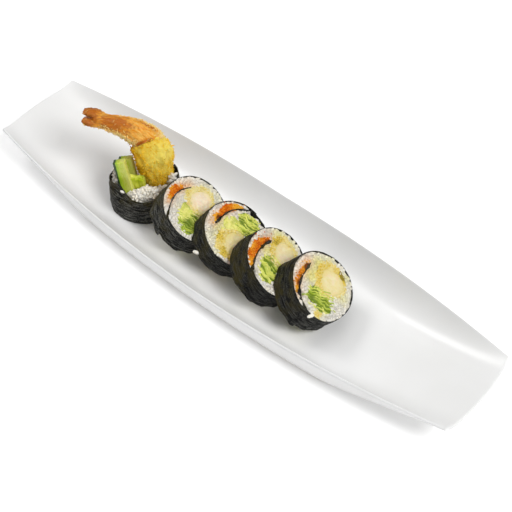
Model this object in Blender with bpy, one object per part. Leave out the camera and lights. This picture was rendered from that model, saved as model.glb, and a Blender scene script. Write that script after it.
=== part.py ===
"""Five pieces of a thick maki roll on a long, boat-shaped porcelain plate.

The roll is rice and laver round fried prawn, salad leaf, avocado and fish roe. Its end piece stands
upright, with the prawn's tail and two cucumber sticks coming out of the top. The four slices after it
lie back against each other like fallen dominoes, cut faces up.

Frame: +X along the plate away from the end piece, +Z up, origin under the plate's middle, on the table.
Sizes are in millimetres and turned into metres as each mesh is made.
"""

import math

import bpy
from mathutils import Matrix, Vector, noise

MM = 0.001
GAP = 0.35  # left between pieces that touch

# The plate: a flat base, long walls that lean out, and ends that sweep up.
PLATE_LENGTH = 380.0
PLATE_END_HALF_WIDTH = 34.9
PLATE_WAIST_SWELL = 17.1  # how much wider each side is at the middle
PLATE_SWELL_POWER = 2.12
PLATE_RIM_HEIGHT = 22.0
PLATE_CORNER_LIFT = 5.25
PLATE_LIFT_POWER = 1.1
PLATE_END_BULGE = 3.3
PLATE_END_DIP = 3.4
PLATE_FLOOR = 5.0
PLATE_FLAT_HALF = 108.0  # the floor is flat this far along
PLATE_FLAT_SHARE = 0.55  # and this share of the half width across
PLATE_BASE_HALF = 105.0
PLATE_WALL_LEAN = 6.3
PLATE_UNDERSIDE_END = 20.0
PLATE_LIP = 1.2
PLATE_STATIONS = 22
PLATE_ACROSS = 11

# The roll.
ROLL_RADIUS = 24.5
NORI = 0.75
SEAM_OVERLAP = 12.0  # degrees by which the sheet laps over its own start
SEAM_EASE = 40.0  # degrees in which the start of the wrap comes out to the full radius
WRAP_STEPS = 32

# Each slice is set by where its axis stands on the plate (x, y), the way its cut face looks (azimuth),
# how steeply the axis rises (tilt) and its thickness. Shapes on the face are in the face's own frame:
# u to the far side of the plate, v up the slope, both from the slice's axis. `tongue` is the inner end
# of the laver sheet, from its free end out to the wrap; `flipped` mirrors the whole face.
# A filling is (name, material, u, v, half width, half height, turn). The first is the prawn, the second
# the crust all round it, and each of the rest gives way to those before it.
SLICES = [
    dict(
        place=(-35.9, -7.4), azimuth=14.0, tilt=56.7, thickness=18.5, flipped=False, seed=1,
        out_of_round=((2, 0.15, 40), (3, 0.2, 10)),
        tongue=((11.2, 11.0), (4.0, 15.4), (-4.0, 16.6), (-12.0, 15.0), (-18.6, 12.6)),
        seam=150.0, roe=(0.17, 0.58, 4.8),
        fillings=(
            ("shrimp", "prawn_flesh", 7.2, -0.6, 8.6, 8.0, -10),
            ("crust", "batter", 7.8, 1.0, 11.0, 10.8, -10),
            ("avocado", "avocado", -6.4, 5.0, 7.4, 4.4, 8),
            ("lettuce", "leaf", -10.6, -1.9, 8.4, 8.4, 10),
        ),
    ),
    dict(
        place=(-1.2, -5.0), azimuth=14.0, tilt=56.8, thickness=16.5, flipped=True, seed=2,
        out_of_round=((2, 0.2, 100), (3, 0.15, 60)),
        tongue=((4.4, 16.2), (-2.0, 15.2), (-10.0, 13.0), (-16.0, 9.0), (-20.2, 3.6)),
        seam=176.0, roe=(0.02, 0.92, 3.8),
        fillings=(
            ("shrimp", "prawn_flesh", 7.0, -2.4, 8.8, 7.2, 0),
            ("crust", "batter", 8.8, 0.2, 11.6, 10.6, 20),
            ("avocado", "avocado", -1.4, 5.4, 8.4, 6.4, -10),
            ("lettuce", "leaf", -11.9, -3.1, 7.5, 8.9, 9),
        ),
    ),
    dict(
        place=(34.3, -8.6), azimuth=18.8, tilt=51.1, thickness=19.0, flipped=False, seed=3,
        out_of_round=((2, 0.2, 70), (3, 0.2, 0)),
        tongue=((9.8, 11.0), (3.6, 14.0), (-4.0, 15.6), (-11.0, 15.1), (-18.4, 13.0)),
        seam=151.0, roe=(0.02, 0.9, 5.2),
        fillings=(
            ("shrimp", "prawn_flesh", 8.6, -1.8, 8.4, 7.8, 0),
            ("crust", "batter", 9.4, -0.6, 11.2, 11.0, 0),
            ("lettuce", "leaf", -8.4, 3.2, 10.0, 6.8, 18),
        ),
    ),
    dict(
        place=(68.0, -5.0), azimuth=16.1, tilt=52.3, thickness=20.2, flipped=False, seed=4,
        out_of_round=((2, 0.25, -45), (3, 0.45, -45)),
        tongue=((6.8, 15.0), (-1.0, 15.4), (-8.0, 15.3), (-13.6, 13.6), (-18.2, 10.0), (-21.2, 5.0)),
        seam=176.0, roe=(0.0, 0.70, 2.6),
        fillings=(
            ("shrimp", "prawn_flesh", 6.6, -4.7, 9.2, 9.2, -8),
            ("crust", "batter", 7.6, -3.0, 12.0, 11.8, -8),
            ("lettuce", "leaf", -9.4, -2.4, 7.0, 10.6, -6),
            ("crumb", "batter", -18.9, -6.2, 1.9, 2.9, 0),
        ),
    ),
]

# The end piece, upright on its cut face.
END_PLACE = (-81.6, -2.8)
END_RIM = 27.0
END_RIM_RISE, END_RIM_RISE_AT = 5.0, 256.0  # the uneven rim: higher at the near left
END_RIM_DROP, END_RIM_DROP_AT = 5.5, 148.0  # lower at the back
END_RIM_TAB, END_RIM_TAB_AT = 3.0, 48.0  # and with a small tab by the seam
END_RICE_TOP = 22.0
END_SEAM = 60.0
END_SEAM_TOP = 36.0  # higher than the rice anywhere along the seam
# Lumps of rice that well up over the rim: (bearing, distance out, height, half sizes)
END_LUMPS = (
    (277.0, 17.4, 23.2, (5.4, 4.4, 5.2)),
    (299.0, 17.0, 24.8, (5.8, 4.8, 6.4)),
    (319.0, 15.8, 26.0, (6.6, 5.4, 6.8)),
    (338.0, 17.0, 25.0, (5.0, 4.4, 6.2)),
    (42.0, 19.4, 24.5, (4.4, 3.4, 6.6)),
    (222.0, 18.2, 22.0, (5.0, 4.2, 6.0)),
    (200.0, 18.4, 25.0, (5.4, 4.2, 7.2)),
)
# Cucumber sticks: foot, head, width and depth, and the bearing that the wide face looks to.
CUCUMBERS = (
    ("end_cucumber_front", (-80.9, -15.6, 8.0), (-93.6, -13.8, 43.4), 8.0, 5.4, -52.0),
    ("end_cucumber_back", (-86.8, -8.0, 8.0), (-95.3, -6.2, 39.8), 9.4, 5.0, -52.0),
)
LEAF_SPOT, LEAF_SIZE, LEAF_TURN = (-82.4, -8.4, 22.5), (5.8, 4.4, 10.2), 36.0
# The prawn. Its body and tail are tubes through stations of (x, y, z, half width, half depth) that pass
# through each other, and the plane where the batter ends cuts one off against the other.
PRAWN_BODY = (
    (-78.4, 9.6, 5.6, 8.0, 8.0), (-78.5, 9.4, 14.0, 8.6, 8.6), (-79.0, 8.2, 22.0, 10.0, 10.0),
    (-80.2, 6.9, 30.0, 11.6, 11.6), (-80.2, 6.7, 40.0, 12.9, 12.8), (-82.0, 6.4, 46.5, 13.2, 13.2),
    (-84.2, 5.4, 54.0, 11.6, 11.8), (-87.0, 4.0, 64.0, 9.6, 9.8),
)
PRAWN_TAIL = (
    (-80.6, 7.6, 43.5, 10.4, 10.2), (-83.6, 5.7, 54.0, 10.6, 10.4), (-87.2, 3.3, 59.0, 9.6, 9.4),
    (-93.6, 0.5, 62.5, 8.6, 8.4), (-101.5, -4.0, 65.0, 6.8, 6.6), (-111.4, -9.6, 66.8, 5.2, 5.0),
    (-116.0, -11.6, 67.1, 4.0, 3.6),
)
PRAWN_FINS = (
    ((-111.0, -8.4, 67.4, 4.4, 3.4), (-117.5, -9.0, 69.0, 4.2, 3.0), (-124.2, -13.0, 69.8, 2.6, 2.0)),
    ((-110.4, -10.4, 66.2, 4.2, 3.4), (-115.6, -13.2, 65.4, 4.2, 3.0), (-122.0, -15.5, 65.0, 2.6, 2.0)),
)
SEAM_SPOT, SEAM_FACE = (-81.7, 7.0, 54.5), (-0.727, 0.332, 0.6)  # a point on that plane, and its normal
TUBE_SIDE = Vector((-0.37, 0.93, 0.0))  # the way that a tube's half width is measured

COLOURS = {  # base colour, roughness
    "porcelain": ((0.86, 0.86, 0.85), 0.15),
    "nori": ((0.012, 0.016, 0.012), 0.45),
    "rice": ((0.80, 0.78, 0.74), 0.5),
    "roe": ((0.80, 0.25, 0.03), 0.25),
    "leaf": ((0.25, 0.42, 0.05), 0.45),
    "avocado": ((0.55, 0.60, 0.22), 0.5),
    "cucumber": ((0.52, 0.62, 0.28), 0.35),
    "prawn_flesh": ((0.80, 0.62, 0.42), 0.45),
    "batter": ((0.62, 0.40, 0.09), 0.6),
    "tail_shell": ((0.66, 0.22, 0.04), 0.35),
}


def clear_scene():
    for thing in list(bpy.data.objects):
        bpy.data.objects.remove(thing, do_unlink=True)


def make_material(name):
    colour, roughness = COLOURS[name]
    material = bpy.data.materials.new(name)
    material.use_nodes = True
    shader = material.node_tree.nodes["Principled BSDF"]
    shader.inputs["Base Color"].default_value = (*colour, 1.0)
    shader.inputs["Roughness"].default_value = roughness
    shader.inputs["Metallic"].default_value = 0.0
    return material


def add_solid(name, points, faces, material, place=None):
    """An object from points in millimetres. `place` is the matrix from its own frame to the plate's."""
    mesh = bpy.data.meshes.new(name)
    mesh.from_pydata([Vector(point) * MM for point in points], [], faces)
    mesh.materials.append(MATERIALS[material])
    mesh.shade_smooth()
    mesh.set_sharp_from_angle(angle=math.radians(40))
    solid = bpy.data.objects.new(name, mesh)
    bpy.context.scene.collection.objects.link(solid)
    if place is not None:
        solid.matrix_world = place
    return solid


def add_cutter(points, faces, place=None):
    cutter = add_solid("cutter", points, faces, "rice", place)
    cutter.hide_render = True
    cutter.display_type = "WIRE"
    return cutter


def boolean(solid, other, operation="DIFFERENCE"):
    modifier = solid.modifiers.new(operation.lower(), "BOOLEAN")
    modifier.operation = operation
    modifier.object = other
    modifier.solver = "MANIFOLD"


def smoothstep(value):
    value = min(max(value, 0.0), 1.0)
    return value * value * (3 - 2 * value)


def curve_through(stations, steps):
    """Points on a smooth curve through the stations (Catmull-Rom), `steps` to each stretch."""
    rows = [Vector(row) for row in stations]
    rows = [2 * rows[0] - rows[1], *rows, 2 * rows[-1] - rows[-2]]
    points = []
    for before, start, end, after in zip(rows, rows[1:], rows[2:], rows[3:]):
        for step in range(steps):
            t = step / steps
            points.append(
                0.5 * (2 * start + (end - before) * t + (2 * before - 5 * start + 4 * end - after) * t**2
                       + (3 * start - 3 * end + after - before) * t**3)
            )
    return [*points, rows[-2]]


def loft(rings):
    """A closed body through rings of equally many points, with a fan of triangles on each end."""
    count = len(rings[0])
    points = [point for ring in rings for point in ring]
    faces = []
    for row in range(len(rings) - 1):
        for i in range(count):
            j = (i + 1) % count
            a, b = row * count, (row + 1) * count
            faces.append((a + i, a + j, b + j, b + i))
    for row, order in ((0, -1), (len(rings) - 1, 1)):
        middle = sum((Vector(point) for point in rings[row]), Vector()) / count
        points.append(middle)
        for i in range(count):
            edge = (row * count + i, row * count + (i + 1) % count)
            faces.append((*edge[::order], len(points) - 1))
    return points, faces


# --- the plate ---


def plate_half_width(x):
    return PLATE_END_HALF_WIDTH + PLATE_WAIST_SWELL * (1 - abs(2 * x / PLATE_LENGTH) ** PLATE_SWELL_POWER)


def plate_rim(x):
    return PLATE_RIM_HEIGHT + PLATE_CORNER_LIFT * abs(2 * x / PLATE_LENGTH) ** PLATE_LIFT_POWER


def plate_top(x, v):
    """Height of the inside at x and at v, -1 to 1 across."""
    end = max(0.0, (abs(x) - PLATE_FLAT_HALF) / (PLATE_LENGTH / 2 - PLATE_FLAT_HALF))
    end_height = PLATE_RIM_HEIGHT + PLATE_CORNER_LIFT - PLATE_END_DIP
    floor = PLATE_FLOOR + (end_height - PLATE_FLOOR) * end**1.25
    wall = max(0.0, (abs(v) - PLATE_FLAT_SHARE) / (1 - PLATE_FLAT_SHARE))
    return floor + (plate_rim(x) - floor) * wall**2.1


def plate_under(x, y):
    end = max(0.0, (abs(x) - PLATE_BASE_HALF) / (PLATE_LENGTH / 2 - PLATE_BASE_HALF))
    base = PLATE_UNDERSIDE_END * end
    wall = max(0.0, 1 - (plate_half_width(x) - abs(y)) / PLATE_WALL_LEAN)
    return base + (plate_rim(x) - PLATE_LIP - base) * wall


def plate_section(x):
    """One closed section: the inside from the near rim to the far one, then back along the underside."""
    half = plate_half_width(x)
    end = abs(2 * x / PLATE_LENGTH) ** 8
    across = [math.sin(math.pi / 2 * (2 * i / (PLATE_ACROSS - 1) - 1)) for i in range(PLATE_ACROSS)]
    inside, under = [], []
    for v in across:
        along = x + math.copysign(PLATE_END_BULGE * (1 - v * v) * end, x)
        inside.append((along, v * (half - PLATE_LIP), plate_top(x, v)))
        under.append((along, v * half, plate_under(x, v * half)))
    return inside + under[::-1]


def build_plate():
    rings = []
    for i in range(PLATE_STATIONS + 1):
        rings.append(plate_section((i / PLATE_STATIONS - 0.5) * PLATE_LENGTH))
    count = 2 * PLATE_ACROSS
    points, faces = loft(rings)
    side_faces = faces[: (len(rings) - 1) * count]
    for row, order in ((0, -1), (len(rings) - 1, 1)):
        for i in range(PLATE_ACROSS - 1):
            corners = [row * count + k for k in (i, i + 1, count - 2 - i, count - 1 - i)]
            side_faces.append(tuple(corners[::order]))
    side_faces = [face[::-1] for face in side_faces]
    add_solid("plate", points[: len(rings) * count], side_faces, "porcelain")


# --- the slices ---


def wrap_radius(piece, degrees):
    """The roll's outer radius: nearly round, squeezed a little by the mat and by its neighbours."""
    radius = ROLL_RADIUS
    for lobes, depth, at in piece["out_of_round"]:
        radius += depth * (math.cos(math.radians(lobes * (degrees - at))) - 1)
    return radius


def wrap_line(piece):
    """The laver's middle line round the roll, from inside the seam, counterclockwise to past it."""
    line = []
    turn = 360.0 + SEAM_OVERLAP
    for i in range(WRAP_STEPS + 1):
        along = turn * i / WRAP_STEPS
        degrees = piece["seam"] + along
        inset = (NORI + GAP) * (1 - smoothstep(along / SEAM_EASE))
        radius = wrap_radius(piece, degrees) - NORI / 2 - inset
        line.append(Vector((math.cos(math.radians(degrees)), math.sin(math.radians(degrees)))) * radius)
    return line


def tongue_line(piece, steps=3):
    return curve_through(piece["tongue"], steps)[:-1] if piece["tongue"] else []


def strip(line, half_thickness, low, high):
    """A sheet of even thickness that stands along a flat line. `low` and `high` give its edges there."""
    points, faces = [], []
    for i, here in enumerate(line):
        ahead = line[min(i + 1, len(line) - 1)] - line[max(i - 1, 0)]
        aside = Vector((ahead.y, -ahead.x)).normalized() * half_thickness
        for side in (here - aside, here + aside):
            points += [(*side, low(here)), (*side, high(here))]
    for i in range(len(line) - 1):
        a, b = 4 * i, 4 * i + 4
        for p, q in ((0, 1), (1, 3), (3, 2), (2, 0)):
            faces.append((a + p, a + q, b + q, b + p))
    last = 4 * (len(line) - 1)
    faces += [(0, 2, 3, 1), (last + 1, last + 3, last + 2, last)]
    return points, faces


def blob(piece, filling, grow=0.0, sides=14):
    """The uneven oval outline of one filling on the cut face."""
    _, _, u, v, half_width, half_height, turn = filling
    spin = Matrix.Rotation(math.radians(turn), 2)
    outline = []
    for i in range(sides):
        angle = 2 * math.pi * i / sides
        wave = 1 + 0.05 * math.sin(3 * angle + piece["seed"] + u) + 0.03 * math.sin(5 * angle + v)
        reach = Vector(((half_width * wave + grow) * math.cos(angle),
                        (half_height * wave + grow) * math.sin(angle)))
        outline.append(Vector((u, v)) + spin @ reach)
    return outline


def prism(outline, low, high):
    return loft([[(*point, low) for point in outline], [(*point, high) for point in outline]])


def roe_outline(piece, grow=0.0, steps=10):
    """The crescent of roe that lies on the tongue's outer side, between it and the outer rice."""
    start, end, depth = piece["roe"]
    line = curve_through(piece["tongue"], 8)
    near, far = [], []
    for i in range(steps + 1):
        at = (start + (end - start) * i / steps) * (len(line) - 2)
        k = int(at)
        here = line[k].lerp(line[k + 1], at - k)
        out = Vector((line[k + 1].y - line[k].y, line[k].x - line[k + 1].x)).normalized()
        swell = math.sin(math.pi * (0.06 + 0.88 * i / steps)) ** 0.7
        near.append(here + out * (NORI / 2 + GAP - grow))
        far.append(here + out * (NORI / 2 + GAP + depth * swell + grow))
    return near[::-1] + far


def rice_disc(piece, low, high, rings=2, sides=28):
    """The rice before anything is cut from it: a disc inside the wrap with lumpy faces."""
    layers = []
    for face, height in ((-1, low), (1, high)):
        for ring in range(rings + 1):
            share = (ring if face < 0 else rings - ring) / rings
            layer = []
            for i in range(sides):
                degrees = 360.0 * i / sides
                radius = (wrap_radius(piece, degrees) - NORI - GAP) * (0.06 + 0.94 * share)
                x, y = radius * math.cos(math.radians(degrees)), radius * math.sin(math.radians(degrees))
                lump = noise.noise(Vector((x, y, 9 * piece["seed"] + face)) / 3.1) * 0.7 * (share < 1)
                layer.append((x, y, height + lump))
            layers.append(layer)
    return loft(layers)


def slice_matrix(piece):
    """The slice's own frame in the plate's: local Z is the roll's axis, out of the upper cut face."""
    tilt = math.radians(piece["tilt"])
    height = (PLATE_FLOOR + GAP + ROLL_RADIUS * math.cos(tilt) + piece["thickness"] / 2 * math.sin(tilt))
    turn = Matrix.Rotation(math.radians(piece["azimuth"] + 90), 4, "Z")
    lean = Matrix.Rotation(math.pi / 2 - tilt, 4, "X")
    mirror = Matrix.Diagonal((-1 if piece["flipped"] else 1, 1, 1, 1))
    return Matrix.Translation(Vector((*piece["place"], height)) * MM) @ turn @ lean @ mirror


def build_slice(number, piece):
    name = f"slice_{number}_"
    place = slice_matrix(piece)
    half = piece["thickness"] / 2
    long_cut = half + 3
    sheet = tongue_line(piece) + wrap_line(piece)
    add_solid(name + "nori", *strip(sheet, NORI / 2, lambda at: -half, lambda at: half), "nori", place)

    def add_filling(filling, cutters):
        """One filling, and the space that it and a small gap take from whatever comes after it."""
        bulge = 0.2 if filling[1] == "leaf" else -0.2
        solid = add_solid(name + filling[0], *prism(blob(piece, filling), -half + 0.3, half + bulge),
                          filling[1], place)
        for cutter in cutters:
            boolean(solid, cutter)
        return add_cutter(*prism(blob(piece, filling, GAP), -long_cut, long_cut), place)

    start = tongue_line(piece) + wrap_line(piece)[:8]
    sheet_space = strip(start, NORI / 2 + GAP, lambda at: -long_cut, lambda at: long_cut)
    sheet_space = add_cutter(*sheet_space, place)
    prawn, coat, *others = piece["fillings"]
    cutters = [sheet_space, add_filling(coat, [sheet_space, add_filling(prawn, [])])]
    for filling in others:
        cutters.append(add_filling(filling, cutters))

    roe = add_solid(name + "roe", *prism(roe_outline(piece), -half + 0.2, half - 0.1), "roe", place)
    for cutter in cutters:
        boolean(roe, cutter)
    cutters.append(add_cutter(*prism(roe_outline(piece, GAP), -long_cut, long_cut), place))

    rice = add_solid(name + "rice", *rice_disc(piece, -half + 0.4, half - 0.4), "rice", place)
    for cutter in cutters:
        boolean(rice, cutter)


# --- the end piece ---


def lobe(degrees, at, width):
    away = (degrees - at + 180) % 360 - 180
    return math.exp(-((away / width) ** 2))


def end_rim(degrees):
    rise = END_RIM_RISE * lobe(degrees, END_RIM_RISE_AT, 26)
    rise += END_RIM_TAB * lobe(degrees, END_RIM_TAB_AT, 24)
    drop = END_RIM_DROP * lobe(degrees, END_RIM_DROP_AT, 52)
    return END_RIM + rise - drop + 0.35 * math.sin(math.radians(7 * degrees))


def bearing(point):
    return math.degrees(math.atan2(point[1], point[0]))


def tube(stations, grow=0.0, steps=2, sides=12, rough=0.0):
    """A tube through stations of (x, y, z, half width, half depth), with an uneven skin if rough."""
    line = [Vector(row[:3]) for row in curve_through([row[:3] for row in stations], steps)]
    sizes = curve_through([(*row[3:], 0) for row in stations], steps)
    rings = []
    for i, (here, size) in enumerate(zip(line, sizes)):
        along = (line[min(i + 1, len(line) - 1)] - line[max(i - 1, 0)]).normalized()
        wide = (TUBE_SIDE - TUBE_SIDE.dot(along) * along).normalized()
        deep = along.cross(wide)
        ring = []
        for k in range(sides):
            angle = 2 * math.pi * k / sides
            spot = (size[0] + grow) * math.cos(angle) * wide + (size[1] + grow) * math.sin(angle) * deep
            lump = 1 + rough * noise.noise((here + spot) / 5.0)
            ring.append(here + spot * lump)
        rings.append(ring)
    return loft(rings)


def stick(foot, head, width, depth, bearing_of_face, grow=0.0):
    """A cucumber stick: a wedge of the fruit, its skin side rounded."""
    foot, head = Vector(foot), Vector(head)
    up = (head - foot).normalized()
    face = Vector((math.cos(math.radians(bearing_of_face)), math.sin(math.radians(bearing_of_face)), 0))
    face = (face - face.dot(up) * up).normalized()
    side = up.cross(face)
    corners = [(0.5, -0.5), (0.5, 0.5), (-0.5, 0.5), (-0.56, 0.2), (-0.58, -0.1), (-0.5, -0.5)]
    rings = []
    for end, reach in ((foot, -grow), (foot.lerp(head, 0.5), 0), (head, grow)):
        ring = []
        for across, through in corners:
            flat = side * -across * (width + 2 * grow) + face * through * (depth + 2 * grow)
            ring.append(end + up * reach + flat)
        rings.append(ring)
    return loft(rings)


def ellipsoid(middle, sizes, turn, rings=6, sides=9):
    spin = Matrix.Rotation(math.radians(turn), 3, "Z")
    layers = []
    for i in range(rings):
        polar = math.pi * (0.04 + 0.92 * i / (rings - 1))
        layer = []
        for k in range(sides):
            angle = 2 * math.pi * k / sides
            spot = Vector((sizes[0] * math.sin(polar) * math.cos(angle),
                           sizes[1] * math.sin(polar) * math.sin(angle), -sizes[2] * math.cos(polar)))
            layer.append(Vector(middle) + spin @ spot)
        layers.append(layer)
    return loft(layers)


def seam_block(side):
    """A block that fills the space on one side of the plane where the batter ends, and half the gap."""
    turn = Vector(SEAM_FACE).to_track_quat("Z", "Y").to_matrix().to_4x4()
    reach = 60
    outline = [(x * reach, y * reach) for x, y in ((-1, -1), (1, -1), (1, 1), (-1, 1))]
    low, high = sorted((-side * GAP / 2, side * reach))
    return add_cutter(*prism(outline, low, high), Matrix.Translation(Vector(SEAM_SPOT) * MM) @ turn)


def build_end_rice(piece, cutters, place):
    sides = 28
    low = PLATE_FLOOR + GAP + 0.2
    layers = []
    for share, on_top in ((0.08, False), (1.0, False), (1.0, True), (0.7, True), (0.4, True), (0.08, True)):
        layer = []
        for i in range(sides):
            degrees = 360.0 * i / sides
            radius = share * (wrap_radius(piece, degrees) - NORI - GAP)
            x, y = radius * math.cos(math.radians(degrees)), radius * math.sin(math.radians(degrees))
            lump = 1.4 * noise.noise(Vector((x, y, 3.0)) / 4.0)
            top = min(END_RICE_TOP + lump, end_rim(degrees) - 0.6)
            layer.append((x, y, top if on_top else low))
        layers.append(layer)
    rice = add_solid("end_rice", *loft(layers), "rice", place)
    for degrees, out, height, sizes in END_LUMPS:
        angle = math.radians(degrees)
        middle = (out * math.cos(angle), out * math.sin(angle), height)
        lump = add_cutter(*ellipsoid(middle, sizes, degrees + 90), place)
        boolean(rice, lump, "UNION")
    for cutter in cutters:
        boolean(rice, cutter)


def build_end_piece():
    place = Matrix.Translation(Vector((*END_PLACE, 0)) * MM)
    piece = dict(seam=END_SEAM, tongue=None, out_of_round=((2, 0.25, 20), (3, 0.2, 0)))
    low = PLATE_FLOOR + GAP
    wrap = wrap_line(piece)
    sheet = strip(wrap, NORI / 2, lambda at: low, lambda at: end_rim(bearing(at)))
    add_solid("end_nori", *sheet, "nori", place)
    seam_space = strip(wrap[:8], NORI / 2 + GAP, lambda at: low - 3, lambda at: END_SEAM_TOP)

    body = add_solid("end_prawn_body", *tube(PRAWN_BODY, rough=0.1), "batter")
    boolean(body, seam_block(1))
    tail = add_solid("end_prawn_tail", *tube(PRAWN_TAIL), "tail_shell")
    boolean(tail, seam_block(-1))
    for fin in PRAWN_FINS:
        boolean(tail, add_cutter(*tube(fin, sides=8)), "UNION")

    spaces = [add_cutter(*tube(PRAWN_BODY[:6], grow=2.4 * GAP, rough=0.1))]
    for name, *shape in CUCUMBERS:
        add_solid(name, *stick(*shape), "cucumber")
        spaces.append(add_cutter(*stick(*shape, grow=GAP)))

    leaf = add_solid("end_lettuce", *ellipsoid(LEAF_SPOT, LEAF_SIZE, LEAF_TURN), "leaf")
    for space in spaces:
        boolean(leaf, space)
    leaf_space = add_cutter(*ellipsoid(LEAF_SPOT, [size + GAP for size in LEAF_SIZE], LEAF_TURN))
    build_end_rice(piece, [*spaces, leaf_space, add_cutter(*seam_space, place)], place)


clear_scene()
MATERIALS = {name: make_material(name) for name in COLOURS}
build_plate()
build_end_piece()
for index, slice_piece in enumerate(SLICES, 1):
    build_slice(index, slice_piece)
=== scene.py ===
"""Five pieces of a thick maki roll on a long, boat-shaped porcelain plate: the finished surfaces.

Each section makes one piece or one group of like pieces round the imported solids, in the order in which
the dish is put together: plate, laver, rice, roe, fillings, and then the upright end piece.
Sizes are in millimetres and turned into metres as each piece is added.
"""

import math
import random

import bmesh
import bpy
from mathutils import Matrix, Vector, noise


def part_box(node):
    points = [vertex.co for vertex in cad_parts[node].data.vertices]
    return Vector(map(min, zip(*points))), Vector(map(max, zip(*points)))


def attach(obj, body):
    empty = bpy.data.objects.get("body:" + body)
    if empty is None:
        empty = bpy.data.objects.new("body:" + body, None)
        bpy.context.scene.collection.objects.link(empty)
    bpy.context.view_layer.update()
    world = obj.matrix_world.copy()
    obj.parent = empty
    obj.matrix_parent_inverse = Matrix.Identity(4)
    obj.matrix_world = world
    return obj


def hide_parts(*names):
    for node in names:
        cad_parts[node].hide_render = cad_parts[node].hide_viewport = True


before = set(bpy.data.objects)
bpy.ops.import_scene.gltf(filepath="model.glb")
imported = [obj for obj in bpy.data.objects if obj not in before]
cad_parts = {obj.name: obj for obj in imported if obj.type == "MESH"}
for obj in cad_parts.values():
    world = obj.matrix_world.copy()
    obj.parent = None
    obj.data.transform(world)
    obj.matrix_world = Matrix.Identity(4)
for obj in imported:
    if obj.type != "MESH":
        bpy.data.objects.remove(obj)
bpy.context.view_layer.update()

# The studio: a matt white table top under three soft lamps, the brightest at the right end, one at the
# left end and one overhead, with a little light from all round.
MM = 0.001
CAMERA_SPOT = (343.5, -402.6, 636.6)
CAMERA_TARGET = (18.81, -2.85, 22.0)
CAMERA_ROLL = 1.512  # degrees
CAMERA_LENS = 86.15
SKY_STRENGTH = 0.11
FLOOR_HALF, FLOOR_DROP = 3000.0, 0.2  # the table top lies just under the plate's foot
LAMPS = (  # name, spot, width, watts
    ("lamp_key", (1350, -60, 1600), 900, 28),
    ("lamp_fill", (-1300, -160, 1600), 900, 14),
    ("lamp_ceiling", (0, 60, 2100), 1800, 12),
)


def shown(thing):
    """The same object, now in the scene."""
    bpy.context.scene.collection.objects.link(thing)
    return thing


def aimed(spot, target):
    """Where something at spot that looks along its own -Z at target stands."""
    back = (Vector(spot) - Vector(target)).normalized()
    return Matrix.Translation(Vector(spot) * MM) @ back.to_track_quat("Z", "Y").to_matrix().to_4x4()


camera = shown(bpy.data.objects.new("camera", bpy.data.cameras.new("camera")))
camera.data.lens = CAMERA_LENS
camera.data.clip_start, camera.data.clip_end = 0.02, 50.0
camera.matrix_world = aimed(CAMERA_SPOT, CAMERA_TARGET) @ Matrix.Rotation(math.radians(CAMERA_ROLL), 4, "Z")
bpy.context.scene.camera = camera
bpy.context.scene.view_settings.view_transform = "Standard"

for lamp_name, lamp_spot, lamp_width, lamp_power in LAMPS:
    lamp = shown(bpy.data.objects.new(lamp_name, bpy.data.lights.new(lamp_name, "AREA")))
    lamp.data.shape = "DISK"
    lamp.data.size = lamp_width * MM
    lamp.data.energy = lamp_power
    lamp.matrix_world = aimed(lamp_spot, (0, 0, 0))

world = bpy.data.worlds.new("studio")
world.use_nodes = True
sky = world.node_tree.nodes["Background"].inputs
sky["Color"].default_value = (1, 1, 1, 1)
sky["Strength"].default_value = SKY_STRENGTH
bpy.context.scene.world = world


class Wire:
    """A socket of a node tree. Sums on it add Math nodes, and `node` adds a node of any other kind."""

    def __init__(self, tree, socket=None):
        self.tree = tree
        self.socket = socket

    def node(self, kind, values=(), output=0, **settings):
        """A new node with its settings and with the values or links of its sockets. Gives one output."""
        made = self.tree.nodes.new(kind)
        for name, value in settings.items():
            setattr(made, name, value)
        for name, value in dict(values).items():
            for one in value if isinstance(value, list) else [value]:
                if isinstance(one, Wire):
                    self.tree.links.new(one.socket, made.inputs[name])
                elif made.inputs[name].type == "RGBA":
                    made.inputs[name].default_value = (*one, 1.0)
                else:
                    made.inputs[name].default_value = one
        return Wire(self.tree, made.outputs[output])

    def math(self, operation, *terms):
        return self.node("ShaderNodeMath", enumerate(terms), operation=operation)

    def __add__(self, other):
        return self.math("ADD", self, other)

    def __sub__(self, other):
        return self.math("SUBTRACT", self, other)

    def __rsub__(self, other):
        return self.math("SUBTRACT", other, self)

    def __mul__(self, other):
        return self.math("MULTIPLY", self, other)

    __radd__ = __add__
    __rmul__ = __mul__

    def stretched(self, x, y, z):
        """A place or direction with each axis scaled."""
        return self.node("ShaderNodeVectorMath", {0: self, 1: (x, y, z)}, operation="MULTIPLY")

    def cloud(self, size, detail=2.0, roughness=0.5):
        """Soft noise, 0 to 1, whose lumps are `size` across."""
        values = {"Vector": self, "Scale": 1 / size, "Detail": detail, "Roughness": roughness}
        return self.node("ShaderNodeTexNoise", values)

    def cells(self, size):
        """How far it is to the nearest of some scattered points, `size` apart."""
        return self.node("ShaderNodeTexVoronoi", {"Vector": self, "Scale": 1 / size}, "Distance")

    def between(self, low, high):
        """0 up to low and 1 from high, smooth between. low may be above high."""
        values = {"Value": self, "From Min": low, "From Max": high}
        return self.node("ShaderNodeMapRange", values, interpolation_type="SMOOTHSTEP")

    def blend(self, none, full):
        """Colours mixed by this value: none at 0, full at 1."""
        return self.node("ShaderNodeMix", {0: self, 6: none, 7: full}, 2, data_type="RGBA")

    def bump(self, depth):
        """A normal from this height, `depth` millimetres from 0 to 1."""
        return self.node("ShaderNodeBump", {"Height": self, "Distance": depth * MM, "Strength": 1.0})


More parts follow.
